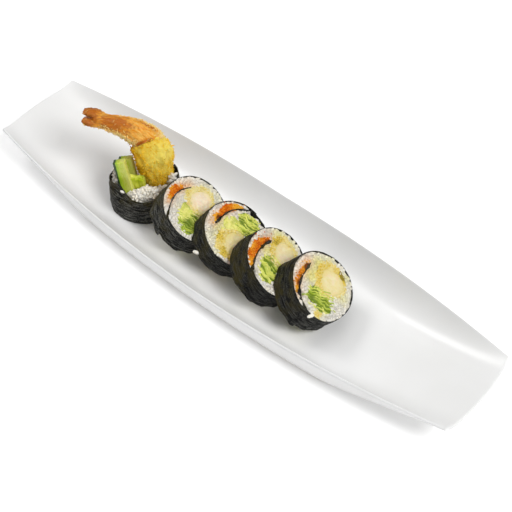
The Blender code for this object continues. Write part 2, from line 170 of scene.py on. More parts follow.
class Finish:
    """One material: a Principled shader whose plain values are set here, with where its patterns lie.

    glow is the light let under the skin: its share, its reach in millimetres and each colour's part in
    that. wet is a thin gloss on top: its share and its roughness."""

    def __init__(self, name, glow=None, wet=None, **plain):
        if glow:
            weight, reach, colours = glow
            plain.update(Subsurface_Weight=weight, Subsurface_Scale=reach * MM, Subsurface_Radius=colours)
        if wet:
            plain.update(Coat_Weight=wet[0], Coat_Roughness=wet[1])
        self.material = bpy.data.materials.new(name)
        self.material.use_nodes = True
        self.tree = self.material.node_tree
        self.shader = self.tree.nodes["Principled BSDF"]
        for socket, value in plain.items():
            self.shader.inputs[socket.replace("_", " ")].default_value = value
        place = Wire(self.tree).node("ShaderNodeTexCoord", {}, "Object")
        self.place = place.stretched(1 / MM, 1 / MM, 1 / MM)

    def attribute(self, name, output="Fac"):
        return Wire(self.tree).node("ShaderNodeAttribute", {}, output, attribute_name=name)

    def set(self, **links):
        for socket, wire in links.items():
            self.tree.links.new(wire.socket, self.shader.inputs[socket.replace("_", " ")])
        return self.material


floor_mesh = bpy.data.meshes.new("floor")
corners = [(x * FLOOR_HALF * MM, y * FLOOR_HALF * MM, -FLOOR_DROP * MM)
           for x, y in ((-1, -1), (1, -1), (1, 1), (-1, 1))]
floor_mesh.from_pydata(corners, [], [(0, 1, 2, 3)])
floor_finish = Finish("table_top", Roughness=0.9, Base_Color=(0.93, 0.93, 0.93, 1),
                      Emission_Color=(1, 1, 1, 1), Emission_Strength=0.25)
floor_mesh.materials.append(floor_finish.material)
floor = shown(bpy.data.objects.new("floor", floor_mesh))


# The plate: one piece of slip-cast porcelain, white glaze all over but for the ground foot it stands on.
# Long walls lean out to a thin rim, and both ends sweep up to a shallow curved lip.
plate_low, plate_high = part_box("plate")
END_BULGE = 3.3  # how far the middle of each end stands out past its corners
PLATE_LENGTH = (plate_high.x - plate_low.x) / MM - 2 * END_BULGE
WAIST_SWELL, SWELL_POWER = 17.1, 2.12  # the plan: wider at the waist than at the ends
END_HALF_WIDTH = plate_high.y / MM - WAIST_SWELL
RIM_HEIGHT, CORNER_LIFT, LIFT_POWER = 22.0, 5.25, 1.1
END_DIP = 3.4  # how far the middle of each end lies below its corners
FLOOR_HEIGHT = 5.0
FLAT_HALF, FLAT_SHARE = 108.0, 0.55  # the flat part of the floor, along and across
BASE_HALF, WALL_LEAN, UNDERSIDE_END = 105.0, 6.3, 20.0
LIP = 1.2
STEPS_ALONG, STEPS_ACROSS = 72, 26  # of the plate's mesh


def half_width_at(x):
    return END_HALF_WIDTH + WAIST_SWELL * (1 - abs(2 * x / PLATE_LENGTH) ** SWELL_POWER)


def rim_at(x):
    return RIM_HEIGHT + CORNER_LIFT * abs(2 * x / PLATE_LENGTH) ** LIFT_POWER


def inside_at(x, v):
    """Height of the plate's inside, v from -1 at the near rim to 1 at the far one."""
    end = max(0.0, (abs(x) - FLAT_HALF) / (PLATE_LENGTH / 2 - FLAT_HALF))
    floor_here = FLOOR_HEIGHT + (RIM_HEIGHT + CORNER_LIFT - END_DIP - FLOOR_HEIGHT) * end**1.25
    wall = max(0.0, (abs(v) - FLAT_SHARE) / (1 - FLAT_SHARE))
    return floor_here + (rim_at(x) - floor_here) * wall**2.1


def underside_at(x, y):
    base = UNDERSIDE_END * max(0.0, (abs(x) - BASE_HALF) / (PLATE_LENGTH / 2 - BASE_HALF))
    wall = max(0.0, 1 - (half_width_at(x) - abs(y)) / WALL_LEAN)
    return base + (rim_at(x) - LIP - base) * wall


def eased(count, tightness=1.0):
    """Shares from -1 to 1 that crowd together towards both ends."""
    shares = [2 * i / count - 1 for i in range(count + 1)]
    return [(1 - tightness) * s + tightness * math.sin(math.pi / 2 * s) for s in shares]


def plate_ring(x):
    """One closed section of the plate at x: inside, far lip, underside and near lip."""
    half = half_width_at(x)
    bulge = math.copysign(END_BULGE * abs(2 * x / PLATE_LENGTH) ** 8, x)
    ring = []
    for v in eased(STEPS_ACROSS):
        ring.append((x + bulge * (1 - v * v), v * (half - LIP), inside_at(x, v)))
    for v in reversed(eased(STEPS_ACROSS, 0.8)):
        ring.append((x + bulge * (1 - v * v), v * half, underside_at(x, v * half)))
    return ring


def between_rings(rings, size):
    """The faces that join closed rings of `size` points each."""
    edges = [(row * size + i, row * size + (i + 1) % size) for row in range(rings - 1) for i in range(size)]
    return [(a, b, b + size, a + size) for a, b in edges]


def new_mesh(name, points, faces):
    """A mesh in millimetres whose faces all point outwards."""
    mesh = bpy.data.meshes.new(name)
    mesh.from_pydata(points, [], faces)
    body = bmesh.new()
    body.from_mesh(mesh)
    bmesh.ops.recalc_face_normals(body, faces=body.faces)
    body.to_mesh(mesh)
    body.free()
    return mesh


def grown(name, mesh, *modifiers):
    """A plain mesh of what the modifiers, given as (kind, settings), make of this one."""
    holder = shown(bpy.data.objects.new(name, mesh))
    for kind, settings in modifiers:
        modifier = holder.modifiers.new(kind.lower(), kind)
        for key, value in settings.items():
            if kind == "NODES" and key != "node_group":
                modifier[key] = value
            else:
                setattr(modifier, key, value)
    graph = bpy.context.evaluated_depsgraph_get()
    made = bpy.data.meshes.new_from_object(holder.evaluated_get(graph))
    bpy.data.objects.remove(holder)
    return made


def add_piece(name, mesh, finish, nodes=(), place=Matrix.Identity(4)):
    """A finished piece: its mesh goes to its place in metres, and it stands for these solids."""
    spots = mesh.attributes.new("spot", "FLOAT_VECTOR", "POINT")
    here = [0.0] * (3 * len(mesh.vertices))
    mesh.vertices.foreach_get("co", here)
    spots.data.foreach_set("vector", here)
    mesh.transform(place @ Matrix.Scale(MM, 4))
    mesh.materials.clear()
    mesh.materials.append(finish)
    mesh.shade_smooth()
    piece = shown(bpy.data.objects.new(name, mesh))
    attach(piece, "root")
    if nodes:
        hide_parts(*nodes)


def porcelain():
    finish = Finish("porcelain_glaze", wet=(0.12, 0.2), IOR=1.5)
    height = finish.place.node("ShaderNodeSeparateXYZ", {0: finish.place}, "Z")
    wavy = finish.place.cloud(9.0, 2.0)
    patch = finish.place.cloud(38.0, 2.0)
    foot = (height + wavy * 0.7).between(1.5, 1.1)
    glaze = patch.between(0.3, 0.7).blend((0.825, 0.825, 0.815), (0.85, 0.85, 0.845))
    pinhole = finish.place.cells(5.5).between(0.045, 0.02)
    speckled = (pinhole * 0.5).blend(glaze, (0.62, 0.58, 0.52))
    rough = patch * 0.08 + foot * 0.4 + 0.28
    relief = (wavy + finish.place.cloud(2.4, 2.0) * 0.15).bump(0.05)
    return finish.set(Base_Color=foot.blend(speckled, (0.66, 0.62, 0.55)), Roughness=rough, Normal=relief)


plate_rings = [plate_ring(s * PLATE_LENGTH / 2) for s in eased(STEPS_ALONG, 0.85)]
ring_size = len(plate_rings[0])
plate_points = [point for ring in plate_rings for point in ring]
plate_faces = between_rings(len(plate_rings), ring_size)
for start in (0, (len(plate_rings) - 1) * ring_size):
    for i in range(ring_size // 2 - 1):
        plate_faces.append(tuple(start + k for k in (i, i + 1, ring_size - 2 - i, ring_size - 1 - i)))
plate_mesh = new_mesh("plate", plate_points, plate_faces)
plate_mesh = grown("plate_cast", plate_mesh, ("SUBSURF", {"levels": 1, "render_levels": 1}))
add_piece("porcelain_plate", plate_mesh, porcelain(), ["plate"])


# The laver: one sheet of dried seaweed to each piece, wrapped once round the rice, with its inner end
# laid in under the roe as a tongue. Damp rice has shrunk it into fine ridges that run round the roll.
ROLL_RADIUS = 24.5
LAVER = 0.75
GAP = 0.35
SEAM_OVERLAP, SEAM_EASE = 12.0, 40.0  # degrees
# Each slice has the spot of its axis on the plate, its cut face's azimuth and tilt, its thickness, flip -1
# where the laver is wrapped the other way round, the seam's bearing, squeeze, which is (lobes, depth,
# bearing) for each way it is pressed out of round, and tongue, the laver's inner end across the face.
SLICES = (
    dict(spot=(-35.9, -7.4), azimuth=14, tilt=56.7, thickness=18.5, flip=1, seam=150,
         squeeze=((2, 0.15, 40), (3, 0.2, 10)),
         tongue=((11.2, 11), (4, 15.4), (-4, 16.6), (-12, 15), (-18.6, 12.6))),
    dict(spot=(-1.2, -5), azimuth=14, tilt=56.8, thickness=16.5, flip=-1, seam=176,
         squeeze=((2, 0.2, 100), (3, 0.15, 60)),
         tongue=((4.4, 16.2), (-2, 15.2), (-10, 13), (-16, 9), (-20.2, 3.6))),
    dict(spot=(34.3, -8.6), azimuth=18.8, tilt=51.1, thickness=19, flip=1, seam=151,
         squeeze=((2, 0.2, 70), (3, 0.2, 0)),
         tongue=((9.8, 11), (3.6, 14), (-4, 15.6), (-11, 15.1), (-18.4, 13))),
    dict(spot=(68, -5), azimuth=16.1, tilt=52.3, thickness=20.2, flip=1, seam=176,
         squeeze=((2, 0.25, -45), (3, 0.45, -45)),
         tongue=((6.8, 15), (-1, 15.4), (-8, 15.3), (-13.6, 13.6), (-18.2, 10), (-21.2, 5))),
)


def slice_place(piece):
    """The slice's own frame: X to the plate's far side, Y up the cut face, Z out of it along the roll."""
    tilt = math.radians(piece["tilt"])
    height = FLOOR_HEIGHT + GAP + ROLL_RADIUS * math.cos(tilt) + piece["thickness"] / 2 * math.sin(tilt)
    turn = Matrix.Rotation(math.radians(piece["azimuth"] + 90), 4, "Z")
    lean = Matrix.Rotation(math.pi / 2 - tilt, 4, "X")
    return Matrix.Translation(Vector((*piece["spot"], height)) * MM) @ turn @ lean


def slices():
    """Each slice's number, values, own frame and half thickness."""
    for number, piece in enumerate(SLICES, 1):
        yield number, piece, slice_place(piece), piece["thickness"] / 2


def smoothstep(value):
    value = min(max(value, 0.0), 1.0)
    return value * value * (3 - 2 * value)


def lumps(x, y, z=0.0):
    """Soft noise from about -1 to 1 whose lumps are about 1 across."""
    return noise.noise(Vector((x, y, z)))


def bell(value, at, width):
    return math.exp(-(((value - at) / width) ** 2))


def wrap_line(seam, squeeze, steps=240):
    """The sheet's middle line from inside the seam, once round and past it."""
    line = []
    for i in range(steps + 1):
        along = (360.0 + SEAM_OVERLAP) * i / steps
        angle = math.radians(seam + along)
        radius = ROLL_RADIUS - LAVER / 2 - (LAVER + GAP) * (1 - smoothstep(along / SEAM_EASE))
        for lobes, depth, at in squeeze:
            radius += depth * (math.cos(lobes * (angle - math.radians(at))) - 1)
        line.append(Vector((math.cos(angle), math.sin(angle))) * radius)
    return line


def curve_through(stations, steps=14):
    """Points on a smooth curve through the stations, `steps` to each stretch."""
    rows = [Vector(row) for row in stations]
    rows = [2 * rows[0] - rows[1], *rows, 2 * rows[-1] - rows[-2]]
    points = []
    for before, start, end, after in zip(rows, rows[1:], rows[2:], rows[3:]):
        for step in range(steps):
            t = step / steps
            points.append(
                0.5 * (2 * start + (end - before) * t + (2 * before - 5 * start + 4 * end - after) * t**2
                       + (3 * start - 3 * end + after - before) * t**3)
            )
    return [*points, rows[-2]]


def sheet(line, half_thickness, low, high, rows, wrinkle):
    """A closed thin sheet that stands along a flat line, moved sideways by wrinkle(along, up).

    low and high give its edges at a point of the line. Gives points, faces, and each point's run."""
    points, faces, run = [], [], []
    along = 0.0
    for i, here in enumerate(line):
        ahead = line[min(i + 1, len(line) - 1)] - line[max(i - 1, 0)]
        aside = Vector((ahead.y, -ahead.x)).normalized()
        along += (here - line[max(i - 1, 0)]).length
        bottom, top = low(here), high(here)
        for side in (-1, 1):
            for k in range(rows + 1):
                up = bottom + (top - bottom) * k / rows
                edge = 0.45 if k in (0, rows) or i in (0, len(line) - 1) else 1.0
                out = here + aside * (wrinkle(along, up) + side * half_thickness(along, up) * edge)
                points.append((*out, up))
                run.append((along, up, side))
    step = rows + 1
    for i in range(len(line) - 1):
        for k in range(rows):
            for side in (0, 1):
                a, b = (2 * i + side) * step + k, (2 * i + 2 + side) * step + k
                faces.append((a, b, b + 1, a + 1))
        for k in (0, rows):
            a, b = 2 * i * step + k, (2 * i + 2) * step + k
            faces.append((a, b, b + step, a + step))
    for i in (0, len(line) - 1):
        for k in range(rows):
            a = 2 * i * step + k
            faces.append((a, a + 1, a + 1 + step, a + step))
    return points, faces, run


def note(mesh, name, values, kind="FLOAT"):
    """Keeps one value, or one vector, for each point of the mesh."""
    kept = mesh.attributes.new(name, kind, "POINT")
    if kind == "FLOAT":
        kept.data.foreach_set("value", values)
    else:
        kept.data.foreach_set("vector", [number for vector in values for number in vector])


def laver_wrinkle(seed, half=math.inf):
    """Ridges that run round the roll, calm at a slice's front edge and crumpled towards its back edge."""
    def wrinkle(along, up):
        fold = lumps(along / 14 + 7, (up + 0.22 * along) / 3.4, seed + 2)
        ridge = lumps(along / 11 + up / 30, (up + 0.16 * along) / 1.15, seed)
        fine = lumps(along / 5, (up - 0.1 * along) / 0.5, seed + 9)
        crumple = smoothstep((9 - half - up) / 9) * lumps(along / 7, up / 9, seed + 6)
        calm = 1 - 0.7 * smoothstep((up - half + 3) / 3)
        return calm * (0.32 * fold + 0.34 * ridge + 0.1 * fine) + 1.5 * crumple
    return wrinkle


def laver_finish():
    finish = Finish("laver", Specular_IOR_Level=0.2)
    run = finish.attribute("run", "Vector")
    patch = finish.place.cloud(8.0, 3.0, 0.6)
    streak = run.stretched(0.10, 1.0, 0.0).cloud(0.8, 3.0, 0.6)
    fibre = run.stretched(0.5, 1.0, 0.0).cloud(0.4, 2.0, 0.6)
    grain = finish.place.cloud(0.9, 3.0, 0.7)
    # Pale streaks run round the roll: the laver's own fibre streaks, brightened by each sheet's sheen
    # strength into a painted highlight.
    pale = (streak * 0.55 + fibre * 0.3 + grain * 0.25).between(0.52, 0.64)
    painted_sheen = pale * (0.4 + patch * 0.9) * finish.attribute("wear")
    dark = painted_sheen.blend((0.002, 0.0022, 0.002), (0.12, 0.12, 0.105))
    # An olive tint in patches towards the top of each sheet.
    olive_towards_top = patch.between(0.40, 0.60) * finish.attribute("upper") * (0.75 - pale * 0.3)
    olive = olive_towards_top.blend(dark, (0.05, 0.04, 0.006))
    relief = (streak * 0.5 + fibre * 0.2 + grain * 0.5).bump(0.8)
    return finish.set(Base_Color=olive, Roughness=0.85 - pale * 0.4, Normal=relief)


LAVER_FINISH = laver_finish()
LAVER_SHEEN = ((1.0, 2.6), (0.7, 0.7), (0.45, 0.5), (0.9, 0.6))  # how strong the painted highlight on the pale streaks is, below and above on each sheet
LAVER_POCKETS = (  # where the tongue is creased thick: (share of its length, how much)
    ((0.95, 0.6),), ((0.12, 1.1), (0.4, 0.3), (0.9, 0.4)),
    ((0.08, 0.8), (0.3, 0.5), (0.75, 0.5), (0.98, 0.8)), ((0.1, 0.9), (0.5, 0.8), (0.72, 1.0), (1.05, 1.0)),
)
for number, piece, place, half in slices():
    tongue = curve_through(piece["tongue"])[:-1]
    line = [Vector((p.x * piece["flip"], p.y)) for p in tongue + wrap_line(piece["seam"], piece["squeeze"])]
    inner = sum((b - a).length for a, b in zip(tongue, tongue[1:]))

    def thickness_at(along, up):
        swell = max(0.0, lumps(along / 3.4, up / 6.0, number * 7)) * smoothstep((inner + 12 - along) / 3)
        pocket = sum(much * bell(along, at * inner, 2.2) for at, much in LAVER_POCKETS[number - 1])
        flat, puffed = (0.55, 0.6) if along < inner else (0.3, 0.7)
        return LAVER * flat + puffed * swell + pocket

    def ragged(side):
        return lambda at: side * (half + 0.28 * lumps(at.x / 2.1, at.y / 2.1, number * 3 + side)
                                  + 0.12 * lumps(at.x / 0.7, at.y / 0.7, number + side)
                                  + 0.6 * smoothstep((ROLL_RADIUS - 2 - at.length) / 2))

    wrinkle = laver_wrinkle(number * 11, half)
    points, faces, run = sheet(line, thickness_at, ragged(-1), ragged(1), rows=30, wrinkle=wrinkle)
    laver_mesh = new_mesh("laver", points, faces)
    note(laver_mesh, "run", run, "FLOAT_VECTOR")
    upper = [smoothstep((vertex.co.y + 2) / 16) for vertex in laver_mesh.vertices]
    # Each sheet's painted highlight goes from its lower strength to its upper strength.
    low, high = LAVER_SHEEN[number - 1]
    note(laver_mesh, "wear", [low + (high - low) * share for share in upper])
    note(laver_mesh, "upper", upper)
    add_piece(f"laver_{number}", laver_mesh, LAVER_FINISH, [f"slice_{number}_nori"], place)


# The rice: short fat grains of vinegared rice pressed into one sticky body, cut through by the knife at
# each face. A smaller core carries real grains on the cut faces, and roe has stained those beside it.
def recast(node, place, voxel):
    """A finely meshed copy of a solid, in millimetres in the frame that place sets."""
    body = bmesh.new()
    body.from_mesh(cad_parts[node].data)
    bmesh.ops.remove_doubles(body, verts=body.verts, dist=1e-6)
    body.transform(Matrix.Scale(1 / MM, 4) @ place.inverted())
    mesh = bpy.data.meshes.new(node)
    body.to_mesh(mesh)
    body.free()
    return grown(node + "_cast", mesh, ("REMESH", {"mode": "VOXEL", "voxel_size": voxel}))


def reshape(mesh, move):
    """Moves every point of a mesh to move(point, normal)."""
    moved = [move(vertex.co.copy(), vertex.normal.copy()) for vertex in mesh.vertices]
    for vertex, spot in zip(mesh.vertices, moved):
        vertex.co = spot
    mesh.update()


def on_cut_faces(mesh, steep=0.5):
    """1.0 for each point on a cut face, and 0.0 for the others."""
    return [float(abs(vertex.normal.z) > steep) for vertex in mesh.vertices]


def strewing(name, segments, rings):
    """A node tree that strews small round bodies over a bed and trims them flush with the cut faces.

    Gives the tree and its inputs' identifiers by name."""
    tree = bpy.data.node_groups.new(name, "GeometryNodeTree")
    named = {}
    for label, kind in (("Bed", "Geometry"), ("Spacing", "Float"), ("Width", "Float"), ("Length", "Float"),
                        ("Unevenness", "Float"), ("Seed", "Int"), ("Cut height", "Float"),
                        ("Left above cut", "Float"), ("Finish", "Material")):
        socket = tree.interface.new_socket(label, in_out="INPUT", socket_type="NodeSocket" + kind)
        named[label] = socket.identifier
    tree.interface.new_socket("Geometry", in_out="OUTPUT", socket_type="NodeSocketGeometry")
    entry = tree.nodes.new("NodeGroupInput")
    given = {label: Wire(tree, entry.outputs[label]) for label in named}
    made = Wire(tree).node

    def chance(low, high, seed):
        return made("FunctionNodeRandomValue", {2: low, 3: high, "Seed": seed}, 1)

    open_share = made("GeometryNodeInputNamedAttribute", {"Name": "open"}, "Attribute")
    points = made("GeometryNodeDistributePointsOnFaces",
                  {"Mesh": given["Bed"], "Distance Min": given["Spacing"], "Density Max": 5.0,
                   "Density Factor": open_share, "Seed": given["Seed"]}, distribute_method="POISSON")
    ball = made("GeometryNodeMeshUVSphere", {"Segments": segments, "Rings": rings, "Radius": 0.5})
    size = made("ShaderNodeCombineXYZ", {0: given["Width"], 1: given["Width"] * 0.9, 2: given["Length"]})
    body = made("GeometryNodeTransform", {"Geometry": ball, "Scale": size})
    spin = made("FunctionNodeRandomValue", {0: (0, 0, 0), 1: (6.28, 6.28, 6.28), "Seed": given["Seed"]},
                data_type="FLOAT_VECTOR")
    turn = made("FunctionNodeEulerToRotation", {0: spin})
    placed = made("GeometryNodeInstanceOnPoints",
                  {"Points": points, "Instance": body, "Rotation": turn,
                   "Scale": chance(1 - given["Unevenness"], given["Unevenness"] + 1, given["Seed"] + 1)})
    tinted = made("GeometryNodeStoreNamedAttribute",
                  {"Geometry": placed, "Name": "tint", "Value": chance(0.0, 1.0, given["Seed"] + 2)},
                  domain="INSTANCE")
    solid = made("GeometryNodeRealizeInstances", {"Geometry": tinted})
    x, y, z = (made("ShaderNodeSeparateXYZ", {0: made("GeometryNodeInputPosition")}, axis) for axis in "XYZ")
    above = z.math("MAXIMUM", z - given["Cut height"], 0.0)
    below = z.math("MINIMUM", z + given["Cut height"], 0.0)
    flush = z - (above + below) * (1 - given["Left above cut"])
    kept = made("ShaderNodeCombineXYZ", {0: x, 1: y, 2: flush})
    trim = made("GeometryNodeSetPosition", {"Geometry": solid, "Position": kept})
    joined = made("GeometryNodeJoinGeometry", {"Geometry": [given["Bed"], trim]})
    coated = made("GeometryNodeSetMaterial", {"Geometry": joined, "Material": given["Finish"]})
    tree.links.new(coated.socket, tree.nodes.new("NodeGroupOutput").inputs[0])
    return tree, named


def strew(bed, strewn, **values):
    """The bed with small bodies strewn over it. Values are the tree's inputs, _ for a space."""
    tree, named = strewn
    values = {"Unevenness": 0.15, "Left_above_cut": 0.3, **values}
    settings = {named[label.replace("_", " ")]: value for label, value in values.items()}
    return grown("strewn", bed, ("NODES", {"node_group": tree, **settings}))


GRAINS = strewing("rice_grains", segments=8, rings=6)
GRAIN_WIDTH, GRAIN_LENGTH = 2.5, 5.0


def rice_finish():
    finish = Finish("cooked_rice", glow=(0.5, 2.0, (1.0, 0.95, 0.85)), wet=(0.1, 0.25), IOR=1.38)
    tint = finish.attribute("tint")
    stain = finish.attribute("stain")
    milky = finish.place.cloud(1.6, 2.0)
    white = (tint * 0.6 + milky * 0.6).between(0.1, 1.1).blend((0.80, 0.73, 0.60), (0.92, 0.88, 0.78))
    soaked = (finish.attribute("soak") + milky * 0.3).between(0.15, 1.3).blend(white, (0.82, 0.76, 0.24))
    stained = stain.blend(soaked, (0.88, 0.50, 0.27))
    rough = 0.5 - milky * 0.2
    relief = finish.place.cloud(0.6, 2.0).bump(0.12)
    return finish.set(Base_Color=stained, Roughness=rough, Normal=relief)


RICE_FINISH = rice_finish()
PIT_DEPTH = 5.0
PITS = (  # hollows where grains are missing from the cut face, by the laver: x, y, size
    (), ((22.4, -2.5, 2.4), (22, -10, 2), (20.5, 2.2, 1.2)),
    ((-18.5, 12, 1.6),), ((-22.6, 2, 2.3), (-15.5, 10.5, 1.4)),
)
SOAKED = (  # how yellow the rice is in each slice, and the spots where oil and leaf juice have soaked in
    (0.05, ((8, 10, 6, 0.5), (-6, 9.5, 5, 0.4), (19.5, 3, 5, 0.4), (19, -8, 6, 0.4))),
    (0.05, ((-13, 13, 6, 0.5), (-4, 12.5, 5, 0.7), (-20, 5, 4, 0.4), (4, 12, 5, 0.6))),
    (0.05, ((2, 10.5, 6, 0.9), (17, 8, 6, 0.8), (19.5, -3, 6, 0.5), (-14, 9, 4, 0.3))),
    (0.05, ((0, 10, 6.5, 1), (11, 10, 6, 0.9), (20, 3, 6, 0.5), (-16, -6, 5, 0.7),
            (4, -15, 7, 0.6), (-15, 4, 4, 0.4), (18, -12, 5, 0.6))),
)


def toned(mesh, name, tones):
    """Notes a value for each point: a base, and more round spots (x, y, size, much) on the cut face."""
    base, spots = tones
    note(mesh, name, [base + sum(much * bell(math.hypot(v.co.x - x, v.co.y - y), 0, size)
                                 for x, y, size, much in spots) for v in mesh.vertices])


def bearing_of(at):
    """The bearing of a point from the roll's axis, in degrees."""
    return math.degrees(math.atan2(at.y, at.x))


def hold_inside(mesh, line, top, rim=lambda at: math.inf):
    """Draws in what lies outside the laver, closest at its top edge, but for what wells up over its rim."""
    reach = [ROLL_RADIUS] * 360
    for p in line:
        for d in range(-2, 3):
            degrees = (int(bearing_of(p)) + d) % 360
            reach[degrees] = min(reach[degrees], p.length)
    for vertex in mesh.vertices:
        out = vertex.co.xy.length
        gap = 0.1 + 1.1 * smoothstep((top - 0.5 - vertex.co.z) / 3)
        most = reach[int(bearing_of(vertex.co)) % 360] - gap
        if out > most and vertex.co.z < rim(vertex.co):
            vertex.co.x *= most / out
            vertex.co.y *= most / out


for number, piece, place, half in slices():
    core = recast(f"slice_{number}_rice", place, voxel=0.7)

    def rice_core(p, n):
        if abs(n.z) > 0.5:
            high = half - 0.6 + 0.25 * lumps(p.x / 2, p.y / 2, number + n.z)
            return Vector((p.x, p.y, math.copysign(high, n.z)))
        return Vector((p.x + 0.6 * n.x, p.y + 0.6 * n.y, p.z))

    note(core, "open", on_cut_faces(core))
    reshape(core, rice_core)
    rice = strew(core, GRAINS, Spacing=1.9, Width=GRAIN_WIDTH, Length=GRAIN_LENGTH, Seed=number * 10,
                 Cut_height=half - 0.1, Left_above_cut=0.25, Finish=RICE_FINISH)
    hold_inside(rice, wrap_line(piece["seam"], piece["squeeze"]), half)
    for vertex in rice.vertices:
        x, y, z = vertex.co
        pit = sum(bell(math.hypot(x - px, y - py), 0, size) for px, py, size in PITS[number - 1])
        vertex.co.z -= PIT_DEPTH * pit * smoothstep((z + half - 4) / (2 * half - 4))
    roe_line = [Vector((p.x * piece["flip"], p.y + 2)) for p in curve_through(piece["tongue"], 4)[:-6]]
    away = [min((v.co.xy - p).length for p in roe_line) for v in rice.vertices]
    note(rice, "stain", [0.3 * bell(d, 0, 7.0) + 0.6 * bell(d, 0, 3.2) for d in away])
    toned(rice, "soak", SOAKED[number - 1])
    add_piece(f"rice_{number}", rice, RICE_FINISH, [f"slice_{number}_rice"], place)


# The roe: a band of flying-fish roe spread on the laver's tongue. Each egg is a glassy orange bead under
# a millimetre across, so the band is a core with beads pressed into both cut faces.
BEADS = strewing("roe_beads", segments=7, rings=5)
BEAD_WIDTH = 0.95
LOOSE_EGGS = 12
ROE_TONES = (  # how golden the roe is in each slice, and the spots where it is more so
    (0, ((7, 18, 3, 0.7), (-7, 18.5, 3, 0.8), (0, 22.5, 3, 0.7))),
    (0.1, ((-3, 18, 4.5, 0.9), (17.5, 9.5, 5, 0.9), (3, 20, 3, 0.4))),
    (0.1, ((-15, 17, 5, 0.6), (-3, 22.5, 4, 0.7), (6, 18.5, 3, 0.4))),
    (0.4, ((6, 17.5, 5, 0.5), (-16, 13, 4, 0.5))),
)
ROE_SHADES = (  # the same for how dark it is
    (0, ((11, 12.5, 2, 0.5),)),
    (0.1, ((0.5, 15.5, 2.6, 1.2), (8, 13, 2, 0.6))),
    (0.1, ((-12, 14, 3, 0.7), (7, 12.5, 3, 0.8), (-18, 15, 2, 0.8))),
    (0.3, ((-10.5, 14.5, 2.2, 1), (3, 15.2, 2.4, 1.1), (-15.5, 11.5, 2.4, 1), (-5, 16, 3, 0.3))),
)


def roe_finish():
    finish = Finish("flying_fish_roe", glow=(0.1, 0.8, (1.0, 0.4, 0.1)), wet=(0.12, 0.12), IOR=1.4,
                    Specular_IOR_Level=0.25)
    tint = finish.attribute("tint")
    patch = finish.place.cloud(3.2, 2.0)
    mottle = finish.place.cloud(1.4, 2.0)
    deep = (tint * 0.5 + patch * 0.7).between(0.25, 0.85).blend((0.56, 0.10, 0.001), (0.82, 0.25, 0.002))
    tone = finish.attribute("tone") + mottle * 0.7 + tint * 0.2
    golden = tone.between(0.55, 1.25).blend(deep, (0.84, 0.42, 0.03))
    dark = (finish.attribute("dark") + mottle * 0.8).between(0.75, 1.15).blend(golden, (0.20, 0.05, 0.004))
    relief = finish.place.cloud(0.5).bump(0.06)
    return finish.set(Base_Color=dark, Roughness=0.45 - tint * 0.15, Normal=relief)


def facing(normal):
    """1 on the cut face that looks up, and -1 on the one that looks down."""
    return 1 if normal.z > 0 else -1


ROE_FINISH = roe_finish()
for number, piece, place, half in slices():
    band = recast(f"slice_{number}_roe", place, voxel=0.4)
    faces_up = on_cut_faces(band, steep=0.4)

    def roe_core(p, n):
        if abs(n.z) > 0.5:
            return p + Vector((0, 0, (0.35 * lumps(p.x / 1.8, p.y / 1.8, number) + 0.1) * facing(n)))
        return p + (0.9 + 0.8 * lumps(p.x / 3, p.y / 3, p.z / 3)) * n

    reshape(band, roe_core)
    draw = random.Random(number)
    body = bmesh.new()
    body.from_mesh(band)
    for _ in range(LOOSE_EGGS):
        near = draw.choice(band.vertices).co
        egg = Matrix.Translation((near.x + draw.gauss(0, 1.6), near.y + abs(draw.gauss(0, 2.2)), half + 0.1))
        bmesh.ops.create_icosphere(body, subdivisions=1, radius=BEAD_WIDTH / 2, matrix=egg)
    body.to_mesh(band)
    body.free()
    note(band, "open", faces_up + [0.0] * (len(band.vertices) - len(faces_up)))
    roe = strew(band, BEADS, Spacing=0.68, Width=BEAD_WIDTH, Length=BEAD_WIDTH, Seed=number * 10 + 3,
                Cut_height=half + 0.9, Left_above_cut=1.0, Unevenness=0.2, Finish=ROE_FINISH)
    hold_inside(roe, wrap_line(piece["seam"], piece["squeeze"]), half)
    toned(roe, "tone", ROE_TONES[number - 1])
    toned(roe, "dark", ROE_SHADES[number - 1])
    add_piece(f"roe_{number}", roe, ROE_FINISH, [f"slice_{number}_roe"], place)


# The fried prawn in the middle of the roll: pale firm flesh, faintly ringed across its fibres, inside a
# coat of batter that has soaked up rice vinegar and gone soft, golden where it is thickest.
def span(mesh):
    """The middle and half size of a mesh across its cut face: x, y, half width, half height."""
    xs = [vertex.co.x for vertex in mesh.vertices]
    ys = [vertex.co.y for vertex in mesh.vertices]
    return (max(xs) + min(xs)) / 2, (max(ys) + min(ys)) / 2, (max(xs) - min(xs)) / 2, (max(ys) - min(ys)) / 2


def prawn_finish():
    finish = Finish("prawn_flesh", glow=(0.3, 1.5, (1.0, 0.6, 0.35)), wet=(0.2, 0.2), IOR=1.38)
    rim = finish.attribute("rim")
    patch = finish.place.cloud(4.0, 3.0, 0.6)
    fibre = finish.attribute("spot", "Vector").stretched(1.0, 0.35, 0.2).cloud(1.0, 3.0, 0.6)
    tone = finish.attribute("tone")
    mixed = (patch * 0.6 + fibre * 0.4).between(0.35, 0.65)
    white = mixed.blend((0.86, 0.68, 0.46), (0.92, 0.83, 0.66))
    flesh = tone.blend(white, mixed.blend((0.78, 0.66, 0.27), (0.84, 0.77, 0.42)))
    pink = (patch.between(0.52, 0.68) * 0.6).blend(flesh, (0.89, 0.64, 0.46))
    edge = tone.blend((0.84, 0.70, 0.38), (0.76, 0.62, 0.22))
    coated = (rim + patch * 0.9).between(0.95, 1.6).blend(pink, edge)
    relief = (fibre * 0.6 + patch * 0.4).bump(0.4)
    return finish.set(Base_Color=coated, Roughness=0.5 - patch * 0.2, Normal=relief)


